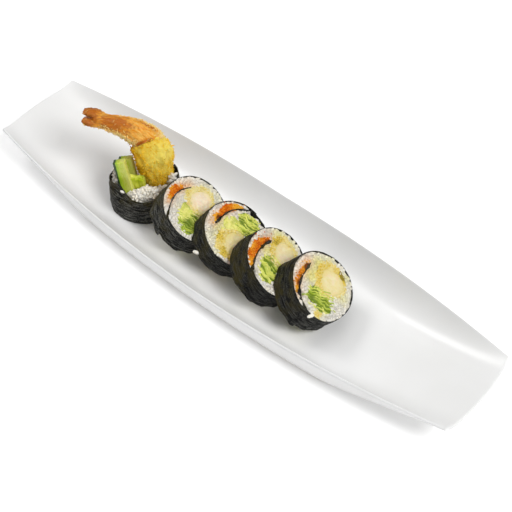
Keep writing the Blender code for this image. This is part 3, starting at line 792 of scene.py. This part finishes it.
def batter_finish(name, pale, gold, brown, rough=0.35):
    """Fried batter: its colour goes from pale through gold to brown with the attribute "tone"."""
    finish = Finish(name, glow=(0.2, 1.5, (1.0, 0.6, 0.2)), Specular_IOR_Level=0.12)
    along = finish.place.stretched(1.0, 1.0, 0.4)
    patch = along.cloud(4.5, 3.0, 0.6)
    crumb = along.cloud(1.4, 3.0, 0.6)
    mixed = patch * 0.45 + crumb * 0.5 + finish.attribute("tint") * 0.3 + finish.attribute("tone") * 0.4
    golden = mixed.between(0.45, 0.95).blend(pale, gold)
    browned = mixed.between(0.88, 1.25).blend(golden, brown)
    relief = (crumb * 0.6 + finish.place.cloud(0.5, 2.0) * 0.4).bump(rough)
    return finish.set(Base_Color=browned, Roughness=0.6 - crumb * 0.25, Normal=relief)


PRAWN_FINISH = prawn_finish()
SOFT_BATTER = batter_finish("soft_batter", (0.85, 0.73, 0.34), (0.76, 0.55, 0.075), (0.32, 0.24, 0.03))
CRUMBS = strewing("batter_crumbs", segments=6, rings=4)
PRAWN_TONES = (  # how yellow the flesh is in each slice, and the spots where it is more or less so
    (0.1, ((-1, -2, 3.5, 0.6),)),
    (0.8, ((-3, 3, 4, 0.3),)),
    (0.5, ((3, 3, 4, 0.4), (14, -2, 4, 0.3))),
    (0.85, ((8, -5, 4, -0.2),)),
)
BATTER_TONES = (  # the same for how brown the batter is
    (0.05, ()),
    (0.2, ((-10, 10, 4, 0.9), (-17.5, 0.5, 3.6, 1))),
    (0.1, ((13.5, 6.5, 4, 1), (2, 8, 3, 0.5), (9, 10, 4, 0.5))),
    (0.15, ((10, 8, 5, 0.7), (0, 6, 5, 0.5), (16.5, -9.5, 4.2, 2.2), (19, 3, 4, 0.3),
            (-20, -6, 3, 0.3))),
)


def cut_face(seed, lift, coarse, fine, swell):
    """A move that roughens the cut faces and swells the sides to close the gap round a filling."""
    def move(p, n):
        if abs(n.z) > 0.5:
            rise = lift + coarse * lumps(p.x / 2.4, p.y / 2.4, seed + n.z)
            return p + Vector((0, 0, (rise + fine * lumps(p.x / 0.9, p.y / 0.9, seed)) * facing(n)))
        spread = 1.2 * lumps(p.x / 4, p.y / 4, p.z / 8 + seed) + 0.5 * lumps(p.x / 1.3, p.y / 1.3, seed)
        return p + n * (swell + spread)
    return move


for number, piece, place, half in slices():
    prawn = recast(f"slice_{number}_shrimp", place, voxel=0.5)
    x, y, wide, high = span(prawn)
    reshape(prawn, cut_face(number * 3, lift=0.25, coarse=0.35, fine=0.08, swell=0.45))
    note(prawn, "rim", [math.hypot((v.co.x - x) / wide, (v.co.y - y) / high) for v in prawn.vertices])
    toned(prawn, "tone", PRAWN_TONES[number - 1])
    add_piece(f"prawn_{number}", prawn, PRAWN_FINISH, [f"slice_{number}_shrimp"], place)
    for name, node in ((f"batter_{number}", f"slice_{number}_crust"),
                       (f"batter_crumb_{number}", f"slice_{number}_crumb")):
        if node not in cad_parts:
            continue
        coat = recast(node, place, voxel=0.45)
        note(coat, "open", on_cut_faces(coat))
        reshape(coat, cut_face(number * 5, lift=0.25, coarse=0.5, fine=0.3, swell=1.2))
        coat = strew(coat, CRUMBS, Spacing=0.95, Width=0.8, Length=1.4, Unevenness=0.5,
                     Seed=number + 40, Cut_height=piece["thickness"], Finish=SOFT_BATTER)
        hold_inside(coat, wrap_line(piece["seam"], piece["squeeze"]), half)
        toned(coat, "tone", BATTER_TONES[number - 1])
        add_piece(name, coat, SOFT_BATTER, [node], place)


# Avocado: ripe strips cut along the fruit and rolled in beside the prawn. The flesh is soft and smooth,
# yellow-green, and greener towards the skin side.
def avocado_finish():
    finish = Finish("avocado", glow=(0.3, 1.5, (0.9, 0.8, 0.3)), wet=(0.15, 0.25))
    patch = finish.place.cloud(3.0, 3.0, 0.6)
    fleck = finish.place.cloud(1.0, 3.0, 0.7)
    flesh = (patch * 0.5 + fleck * 0.5).between(0.4, 0.62).blend((0.84, 0.80, 0.24), (0.60, 0.62, 0.10))
    green = (finish.attribute("tone") + fleck * 0.5).between(0.5, 1.1).blend(flesh, (0.36, 0.42, 0.05))
    relief = (patch * 0.6 + fleck * 0.4).bump(0.6)
    return finish.set(Base_Color=green, Roughness=0.5 - patch * 0.2, Normal=relief)


AVOCADO_FINISH = avocado_finish()
AVOCADO_TONES = (  # how green it is in each slice, and the spots where it is more so
    (0, ((1, 8.5, 5, 1), (-1, 1, 3.5, 0.9), (-13, 2, 3, 0.6))),
    (0.15, ((8, 6, 4, 0.4), (-5, 2, 5, 0.3))),
)
for number, piece, place, half in slices():
    node = f"slice_{number}_avocado"
    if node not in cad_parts:
        continue
    avocado = recast(node, place, voxel=0.5)
    reshape(avocado, cut_face(number * 7, lift=0.3, coarse=0.5, fine=0.3, swell=1.0))
    toned(avocado, "tone", AVOCADO_TONES[number - 1])
    add_piece(f"avocado_{number}", avocado, AVOCADO_FINISH, [node], place)


# Salad leaf: frilly lettuce folded into a wad and rolled in, so that the knife shows the edges of many
# thin crinkled folds, pale yellow-green with darker tips, over an inside that is painted dark as shade.
def leaf_finish(name, green, lime):
    finish = Finish(name, glow=(0.25, 0.8, (0.9, 1.0, 0.3)), wet=(0.2, 0.25))
    tint = finish.attribute("tint")
    patch = finish.place.cloud(3.0, 3.0, 0.6)
    wide = finish.place.cloud(7.0, 2.0)
    fresh = (tint * 0.45 + patch * 0.5 + wide * 0.6).between(0.5, 0.95).blend(green, lime)
    # Painted shade: the tone spots darken the hollows, and the wad between the folds, with tint 0, is
    # painted fully dark.
    shade = (finish.attribute("tone") + patch * 0.5).between(0.6, 1.1) * 0.85
    deep = shade.math("MAXIMUM", shade, tint.between(0.14, 0.04)).blend(fresh, (0.16, 0.24, 0.01))
    relief = (finish.place.cloud(0.9, 3.0) * 0.6 + patch * 0.4).bump(0.5)
    return finish.set(Base_Color=deep, Roughness=0.5 - patch * 0.2, Normal=relief)


def merged(parts):
    """One mesh from (points, faces, tint) parts, each point keeping its part's tint."""
    points, faces, tints = [], [], []
    for part_points, part_faces, tint in parts:
        faces += [tuple(len(points) + i for i in face) for face in part_faces]
        points += [tuple(point) for point in part_points]
        tints += [tint] * len(part_points)
    mesh = new_mesh("parts", points, faces)
    note(mesh, "tint", tints)
    return mesh


def as_part(mesh, tint):
    return [vertex.co for vertex in mesh.vertices], [tuple(face.vertices) for face in mesh.polygons], tint


def leaf_folds(draw, box, turn, low, high, pitch=1.7, thickness=0.8):
    """Crinkled leaf edges that nest side by side across an oval, as parts for `merged`."""
    x, y, wide, high_half = box
    parts = []
    spin = Matrix.Rotation(turn, 2)
    crinkle = draw.uniform(0, 90)
    across = pitch / 2 - wide
    while across < wide:
        reach = high_half * math.sqrt(max(0.05, 1 - (across / wide) ** 2)) * draw.uniform(0.8, 1.1)
        drop = draw.choice((0.0, 0.0, 0.2, 0.6, 1.2))
        line = []
        steps = max(8, int(2 * reach / 0.5))
        for i in range(steps + 1):
            t = (2 * i / steps - 1) * reach
            aside = 1.9 * lumps(t / 5.0, across / 6.0, crinkle) + 0.7 * lumps(t / 1.9, across / 3.0, crinkle)
            line.append(Vector((x, y)) + spin @ Vector((across + aside, t)))

        def frill(side):
            return lambda at: ((high - drop if side > 0 else low + drop)
                               + 0.6 * lumps(at.x / 1.6, at.y / 1.6, across * side))

        points, faces, _ = sheet(line, lambda along, up: thickness / 2, frill(-1), frill(1), rows=14,
                                 wrinkle=lambda along, up: 0.5 * lumps(along / 2.4, up / 4.0, across))
        parts.append((points, faces, draw.uniform(0.25, 1.0)))
        across += pitch * draw.uniform(0.65, 1.35)
    return parts


LEAF_FINISH = leaf_finish("salad_leaf", (0.36, 0.48, 0.02), (0.76, 0.78, 0.17))
LEAF_SHADES = (  # painted shade on the leaf in each slice, and the spots with more of it in the hollows, less where negative
    (0.1, ((-12.5, -1, 4.5, 0.9), (-3.5, -3, 3.5, 0.6), (-18, 5, 4, -0.5))),
    (0, ((10, 1.5, 2.6, 1), (14, -3, 3, 0.3))),
    (0, ((-3, 3.5, 3.5, 0.8), (-9, -1, 3, 0.4), (-8, 9, 4, -0.5), (2, 6, 3, 0.6))),
    (0.1, ((-12.5, 3.5, 3.4, 0.9), (-7, -7, 3.5, 0.5), (-6, 5, 4, -0.6), (-12, -3.5, 2.5, -0.3))),
)
LEAF_SPREAD = (1.2, 1.6, 1.6, 2.2)  # how far the leaf has spread past its share of each face
for number, piece, place, half in slices():
    node = f"slice_{number}_lettuce"
    wad = recast(node, place, voxel=0.6)
    x, y, wide, high = span(wad)
    reshape(wad, cut_face(number * 9, lift=-0.9, coarse=0.4, fine=0.2, swell=0.1))
    draw = random.Random(number * 17)
    spread = LEAF_SPREAD[number - 1]
    oval = (x, y, wide + spread, high + spread)
    folds = leaf_folds(draw, oval, draw.uniform(-0.5, 0.5), -half - 0.6, half + 0.6)
    # The wad under the folds takes tint 0, which paints it dark as shade.
    leaf = merged([as_part(wad, 0.0), *folds])
    toned(leaf, "tone", LEAF_SHADES[number - 1])
    add_piece(f"leaf_{number}", leaf, LEAF_FINISH, [node], place)


# The end piece stands on its cut face. Its laver is wider than the rice is deep, so a soft uneven rim
# stands up round the fillings, torn at the top, higher at the near left and low at the back.
END_SPOT = (-81.6, -2.8)
END_SEAM, END_SQUEEZE = 60.0, ((2, 0.25, 20), (3, 0.2, 0))
END_RIM = 27.0
END_RISE, END_DROP, END_TAB = (5.0, 256, 26), (-5.5, 148, 52), (3.0, 48, 24)  # size, bearing and width
END_FOLD = (3.6, 258, 24)  # the raised rim is folded in over the rice
end_place = Matrix.Translation(Vector((*END_SPOT, 0.0)) * MM)


def lobe(degrees, at, width):
    return math.exp(-((((degrees - at + 180) % 360 - 180) / width) ** 2))


def end_rim(at):
    height = END_RIM + 0.35 * math.sin(math.radians(7 * bearing_of(at)))
    for size, bearing, width in (END_RISE, END_DROP, END_TAB):
        height += size * lobe(bearing_of(at), bearing, width)
    return height + 0.5 * lumps(at.x / 3, at.y / 3, 4) + 0.25 * lumps(at.x, at.y, 8)


def end_wrinkle(along, up):
    size, bearing, width = END_FOLD
    fold = size * lobe(END_SEAM + math.degrees(along / ROLL_RADIUS), bearing, width)
    lean = 0.9 * smoothstep((up - 16) / 14) * lumps(along / 9, up / 20, 3)
    skewed = laver_wrinkle(70)(along + 1.4 * up, up - 0.5 * along)
    return lean - fold * smoothstep((up - 20) / 9) - 0.3 * smoothstep((up - 24) / 8) + skewed


end_line = wrap_line(END_SEAM, END_SQUEEZE)
points, faces, run = sheet(end_line, lambda along, up: LAVER * 0.4, lambda at: FLOOR_HEIGHT + GAP, end_rim,
                           rows=36, wrinkle=end_wrinkle)
end_laver = new_mesh("laver", points, faces)
note(end_laver, "run", run, "FLOAT_VECTOR")
# The end piece's laver carries a strong painted highlight on its pale streaks.
note(end_laver, "wear", [1.7] * len(end_laver.vertices))
note(end_laver, "upper", [smoothstep((vertex.co.z - 15) / 12) for vertex in end_laver.vertices])
add_piece("laver_end", end_laver, LAVER_FINISH, ["end_nori"], end_place)


# The end piece's rice: the same cooked grains, heaped up loosely instead of cut through. They lie on a
# smaller core and well up over the rim at the front.
HEAP_SHOULDER = 21.0  # the height from which loose grains lie on the core's sides too


def lies_open(p, n):
    return n.z > 0.1 or p.z > HEAP_SHOULDER


def heap_move(p, n):
    if lies_open(p, n):
        _, bearing, width = END_FOLD
        under_fold = lobe(bearing_of(p), bearing, width) * smoothstep((p.xy.length - 11) / 6)
        return p - 0.6 * n - Vector((0, 0, 6.0 * under_fold * smoothstep((p.z - 12) / 8)))
    return p + 0.25 * Vector((n.x, n.y, 0))


heap = recast("end_rice", end_place, voxel=0.8)
note(heap, "open", [float(lies_open(v.co, v.normal)) for v in heap.vertices])
reshape(heap, heap_move)
heap = strew(heap, GRAINS, Spacing=1.8, Width=GRAIN_WIDTH, Length=GRAIN_LENGTH, Seed=77,
             Cut_height=200.0, Left_above_cut=1.0, Finish=RICE_FINISH)
hold_inside(heap, end_line, END_RIM, lambda at: end_rim(at) + 0.3)
for name in ("stain", "soak"):
    note(heap, name, [0.0] * len(heap.vertices))
add_piece("rice_end", heap, RICE_FINISH, ["end_rice"], end_place)


# Two cucumber sticks, cut along the fruit, stand pressed into the rice. Each is wet pale flesh with a
# strip of dark skin left on the outer side.
CUCUMBER_FACE = math.radians(-52.0)  # the bearing that the sticks' wide face looks to


def cucumber_finish():
    finish = Finish("cucumber", glow=(0.3, 2.0, (0.7, 1.0, 0.3)), wet=(0.35, 0.15), IOR=1.36)
    across = finish.attribute("across")
    run = finish.attribute("spot", "Vector").stretched(1.0, 1.0, 0.12)
    fibre = run.cloud(0.8, 3.0, 0.6)
    flesh = (fibre * 0.5 + across * 0.5).between(-0.1, 0.5).blend((0.76, 0.76, 0.20), (0.54, 0.68, 0.03))
    skin = (across + fibre * 0.08).between(0.42, 0.47)
    rind = (across + fibre * 0.1).between(0.18, 0.42).blend(flesh, (0.40, 0.62, 0.03))
    skinned = skin.blend(rind, (0.035, 0.085, 0.012))
    return finish.set(Base_Color=skinned, Roughness=0.35 - fibre * 0.15, Normal=fibre.bump(0.35))


CUCUMBER_FINISH = cucumber_finish()
for name, width in (("cucumber_front", 8.0), ("cucumber_back", 9.4)):
    node = "end_" + name
    stick = recast(node, Matrix.Identity(4), voxel=0.4)
    low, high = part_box(node)
    foot = [v.co for v in stick.vertices if v.co.z < low.z / MM + 3]
    head = [v.co for v in stick.vertices if v.co.z > high.z / MM - 3]
    foot, head = sum(foot, Vector()) / len(foot), sum(head, Vector()) / len(head)
    up = (head - foot).normalized()
    face = Vector((math.cos(CUCUMBER_FACE), math.sin(CUCUMBER_FACE), 0))
    side = (face - face.dot(up) * up).normalized().cross(up)
    note(stick, "across", [(v.co - foot).dot(side) / width for v in stick.vertices])
    reshape(stick, lambda p, n: p + n * (0.1 * lumps(p.x / 3, p.y / 3, p.z / 9)
                                         + 0.15 * (n.z > 0.6) * lumps(p.x, p.y)))
    add_piece(name, stick, CUCUMBER_FINISH, [node])


# A curl of the same salad leaf is tucked between the cucumber and the prawn. It is painted brighter
# than in the slices, as painted light where it sits in shade, its folds nested round a small core.
leaf_low, leaf_high = (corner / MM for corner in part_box("end_lettuce"))
leaf_middle, leaf_half = (leaf_low + leaf_high) / 2, (leaf_high - leaf_low) / 2
curl = leaf_folds(random.Random(5), (leaf_middle.x, leaf_middle.y, leaf_half.y * 0.8, leaf_half.x * 1.05),
                  math.radians(-54), leaf_low.z + 1, leaf_high.z - 0.5, pitch=1.6, thickness=0.45)
core = recast("end_lettuce", Matrix.Identity(4), voxel=0.7)
reshape(core, lambda p, n: p - 1.3 * n)
leaf = merged([as_part(core, 0.5), *curl])
note(leaf, "tone", [0.0] * len(leaf.vertices))
# A brighter copy of the leaf finish: painted light on a leaf that sits in shade.
BRIGHTENED_LEAF_FINISH = leaf_finish("leaf_painted_brighter", (0.58, 0.70, 0.01), (0.90, 0.92, 0.15))
add_piece("leaf_end", leaf, BRIGHTENED_LEAF_FINISH, ["end_lettuce"])


# The prawn stands up out of the roll in its crisp batter: a lumpy golden crust of fried crumbs, most
# browned on the bend of its back.
CRISP_BATTER = batter_finish("crisp_batter", (0.96, 0.76, 0.14), (0.93, 0.53, 0.006), (0.68, 0.28, 0.002),
                             rough=0.6)
TOASTED = (((-92, -1.5, 48), 8, 1.2), ((-82, -4, 38), 5, 0.5), ((-73, 6, 50), 9, -0.7))
CRUST_BULGES = (((-92, -1.5, 48), 5, 2.4), ((-71, 14, 29), 7, 1.5))


def near_spots(at, spots):
    """The sum of what each spot (place, size, much) gives a point near it."""
    return sum(much * bell((at - Vector(spot)).length, 0, size) for spot, size, much in spots)


def crust_move(p, n):
    lump = 1.2 * lumps(p.x / 6, p.y / 6, p.z / 8) + 0.8 * lumps(p.x / 2.6, p.y / 2.6, p.z / 5)
    fine = 0.22 * lumps(p.x / 0.9, p.y / 0.9, p.z / 0.9)
    return p + n * (lump + near_spots(p, CRUST_BULGES) + fine - 0.2)


crust = recast("end_prawn_body", Matrix.Identity(4), voxel=0.55)
reshape(crust, crust_move)
note(crust, "open", [1.0 - 0.5 * smoothstep((vertex.co.z - 38) / 10) for vertex in crust.vertices])
crust = strew(crust, CRUMBS, Spacing=1.3, Width=0.65, Length=2.8, Unevenness=0.6, Seed=31,
              Cut_height=500.0, Finish=CRISP_BATTER)
note(crust, "tone", [0.55 + near_spots(vertex.co, TOASTED) for vertex in crust.vertices])
add_piece("batter_end", crust, CRISP_BATTER, ["end_prawn_body"])


# The prawn's tail is left bare of flour: the last rings of shell, fried orange, tapering to a forked
# fan. Shreds of batter cling to it near the crust, along its upper edge and underneath; along the upper
# edge they also make a painted highlight, and painted shade darkens its browned edge against the crust.
TAIL_SIDE = Vector((-0.37, 0.93, 0.0))
SEAM_SPOT, SEAM_FACE = Vector((-81.7, 7.0, 54.5)), Vector((-0.727, 0.332, 0.6)).normalized()
TAIL_LINE = (  # x, y, z, half width, half depth
    (-80.6, 7.6, 43.5, 10.2, 10), (-83.6, 5.7, 54, 10.4, 10.2), (-87.2, 3.3, 59, 9.4, 9.2),
    (-93.6, 0.5, 62.2, 8.2, 8), (-101.5, -4, 64.6, 6.6, 6.2), (-111.4, -9.6, 66.2, 5, 4.5),
    (-116, -11.6, 66.4, 3.6, 3),
)
TAIL_FINS = (
    ((-108, -7.4, 66.8, 4, 2.8), (-113, -8, 67.8, 4.2, 2.4), (-118.5, -9.4, 69, 4, 1.8),
     (-124.6, -13, 69.2, 2.6, 1)),
    ((-108, -8.8, 65.6, 4, 2.8), (-112.5, -12, 65.6, 4.2, 2.4), (-117.5, -14.2, 65.1, 4, 2),
     (-122.8, -15.9, 64.8, 2.6, 1)),
    ((-109, -8, 66.2, 3.4, 2), (-114, -10.2, 67, 3.2, 1.8), (-118, -11.6, 67.2, 2.4, 1)),
)
SHELL_RINGS = (0.0, 0.42, 0.68)  # where each ring of shell starts, as a share of the tail


def tube(stations, steps, sides, relief):
    """A closed tube through stations of (x, y, z, half width, half depth): points, faces and run."""
    middles = curve_through([row[:3] for row in stations], steps)
    sizes = curve_through([(*row[3:], 0) for row in stations], steps)
    points, run = [], []
    last = len(middles) - 1
    for i, (here, size) in enumerate(zip(middles, sizes)):
        along = (middles[min(i + 1, last)] - middles[max(i - 1, 0)]).normalized()
        wide = (TAIL_SIDE - TAIL_SIDE.dot(along) * along).normalized()
        deep = along.cross(wide)
        for k in range(sides):
            angle = 2 * math.pi * k / sides
            out = 1 + relief(i / last, angle)
            points.append(here + out * (size[0] * math.cos(angle) * wide + size[1] * math.sin(angle) * deep))
            run.append((i / last, k / sides, 0.0))
    ends = [tuple(ring * sides + k for k in range(sides)) for ring in (0, last)]
    return points, between_rings(len(middles), sides) + ends, run


def shell_relief(share, angle):
    start = max(ring for ring in SHELL_RINGS if ring <= share)
    overlap = 0.06 * math.exp(-((share - start) / 0.04) ** 2) * (start > 0)
    rib = 0.03 * math.sin(11 * angle + 3 * lumps(share * 5, angle)) + 0.06 * lumps(share * 9, angle * 1.6, 2)
    return overlap + rib + 0.08 * lumps(share * 26, angle * 4, 7) + 0.04 * lumps(share * 60, angle * 9, 3)


def fin_relief(share, angle):
    return 0.12 * math.sin(9 * angle) * share + 0.3 * share * lumps(share * 14, angle * 3, 5)


def shell_finish():
    finish = Finish("prawn_shell", glow=(0.15, 1.5, (1.0, 0.4, 0.1)), wet=(0.08, 0.2),
                    Specular_IOR_Level=0.25)
    run = finish.attribute("run", "Vector")
    streak = run.stretched(9.0, 40.0, 0.0).cloud(1.0, 4.0, 0.7)
    wide = run.stretched(12.0, 14.0, 0.0).cloud(1.0, 4.0, 0.7)
    base = streak.between(0.38, 0.62).blend((0.78, 0.27, 0.006), (0.93, 0.55, 0.11))
    # Brown burn on the shell; in the crease against the crust it is also painted shade.
    burn = wide * 0.55 + streak * 0.55 + finish.attribute("burn") * 0.25
    burnt_and_shaded = (burn.between(0.56, 0.72) * 0.9).blend(base, (0.46, 0.11, 0.002))
    # Cream shreds of batter; along the tail's upper edge they also make a painted highlight.
    shred_and_highlight = finish.attribute("shreds") + finish.attribute("tint").between(0.0, 0.01) * 0.5 + wide * 0.6
    battered_and_highlit = shred_and_highlight.between(0.65, 1.1).blend(burnt_and_shaded, (0.95, 0.68, 0.24))
    relief = (streak * 0.6 + finish.place.cloud(0.8, 3.0) * 0.6).bump(0.9)
    return finish.set(Base_Color=battered_and_highlit, Roughness=0.45 - streak * 0.2, Normal=relief)


SHELL_FINISH = shell_finish()
tail_points, tail_faces, tail_run = tube(TAIL_LINE, steps=14, sides=56, relief=shell_relief)
for fin in TAIL_FINS:
    points, faces, run = tube(fin, steps=10, sides=24, relief=fin_relief)
    tail_faces += [tuple(len(tail_points) + i for i in face) for face in faces]
    tail_points += points
    tail_run += [(0.8 + 0.2 * along, around, 0.0) for along, around, _ in run]
past_seam = [(point - SEAM_SPOT).dot(SEAM_FACE) for point in tail_points]
tail_axis = Vector(TAIL_LINE[1][:3]) - Vector(TAIL_LINE[0][:3])
tail_axis /= tail_axis.dot(SEAM_FACE)
tail_points = [point - min(past + 1.0, 0.0) * tail_axis for point, past in zip(tail_points, past_seam)]
tail = new_mesh("tail", tail_points, tail_faces)
note(tail, "run", tail_run, "FLOAT_VECTOR")
burns_and_shade, shreds = [], []
for (along, around, _), past in zip(tail_run, past_seam):
    # The seam: a browned shell edge, with painted shade in the crease where the tail meets the crust, on its
    # lower side only.
    seam = bell(past, 0.0, 0.8) * bell(around, 0.58, 0.10)
    edge = bell(around, 0.80, 0.02) * smoothstep((along - 0.2) / 0.1) * smoothstep((0.5 - along) / 0.1)
    back = 0.9 * bell(along, 0.70, 0.16) * bell(around, 0.66, 0.16)
    burns_and_shade.append(1.4 * seam + 0.8 * edge + back + 0.7 * smoothstep((along - 0.85) / 0.1))
    # Shreds underneath, along the upper edge and by the crust; those along the upper edge double as a
    # painted highlight.
    shreds.append(0.9 * bell(along, 0.55, 0.3) * bell(around, 0.45, 0.08)
                  + 1.3 * bell(along, 0.25, 0.3) * bell(around, 0.865, 0.04)
                  + 0.8 * bell(past, 0.0, 2.5) * bell(around, 0.80, 0.12))
note(tail, "burn", burns_and_shade)
note(tail, "shreds", shreds)
note(tail, "open", [0.08 + shred_and_highlight for shred_and_highlight in shreds])
tail = strew(tail, CRUMBS, Spacing=1.1, Width=0.7, Length=2.2, Unevenness=0.5, Seed=12,
             Cut_height=500.0, Finish=SHELL_FINISH)
add_piece("prawn_tail", tail, SHELL_FINISH, ["end_prawn_tail"])


# Stray grains of rice: one sticks to the wall of the second slice, one to the rim of the last slice, and
# one to the folded rim of the end piece.
STRAY_GRAINS = (  # x, y, z, bearing and size
    (-10.4, -28.4, 25.8, 20, 1), (82.2, -26, 35, 65, 0.9), (-82, -23.5, 29, 10, 0.7),
)
for number, (x, y, z, bearing, size) in enumerate(STRAY_GRAINS, 1):
    body = bmesh.new()
    bmesh.ops.create_icosphere(body, subdivisions=3, radius=size)
    for vertex in body.verts:
        vertex.co.x *= 2.7
        vertex.co.y = 1.35 * vertex.co.y + 0.2 * lumps(vertex.co.x, vertex.co.z, number)
        vertex.co.z *= 1.2
    grain = bpy.data.meshes.new("grain")
    body.to_mesh(grain)
    body.free()
    for name, value in (("stain", 0.0), ("soak", 0.0), ("tint", 0.9)):
        note(grain, name, [value] * len(grain.vertices))
    place = Matrix.Translation(Vector((x, y, z)) * MM) @ Matrix.Rotation(math.radians(bearing), 4, "Z")
    add_piece(f"stray_grain_{number}", grain, RICE_FINISH, place=place)
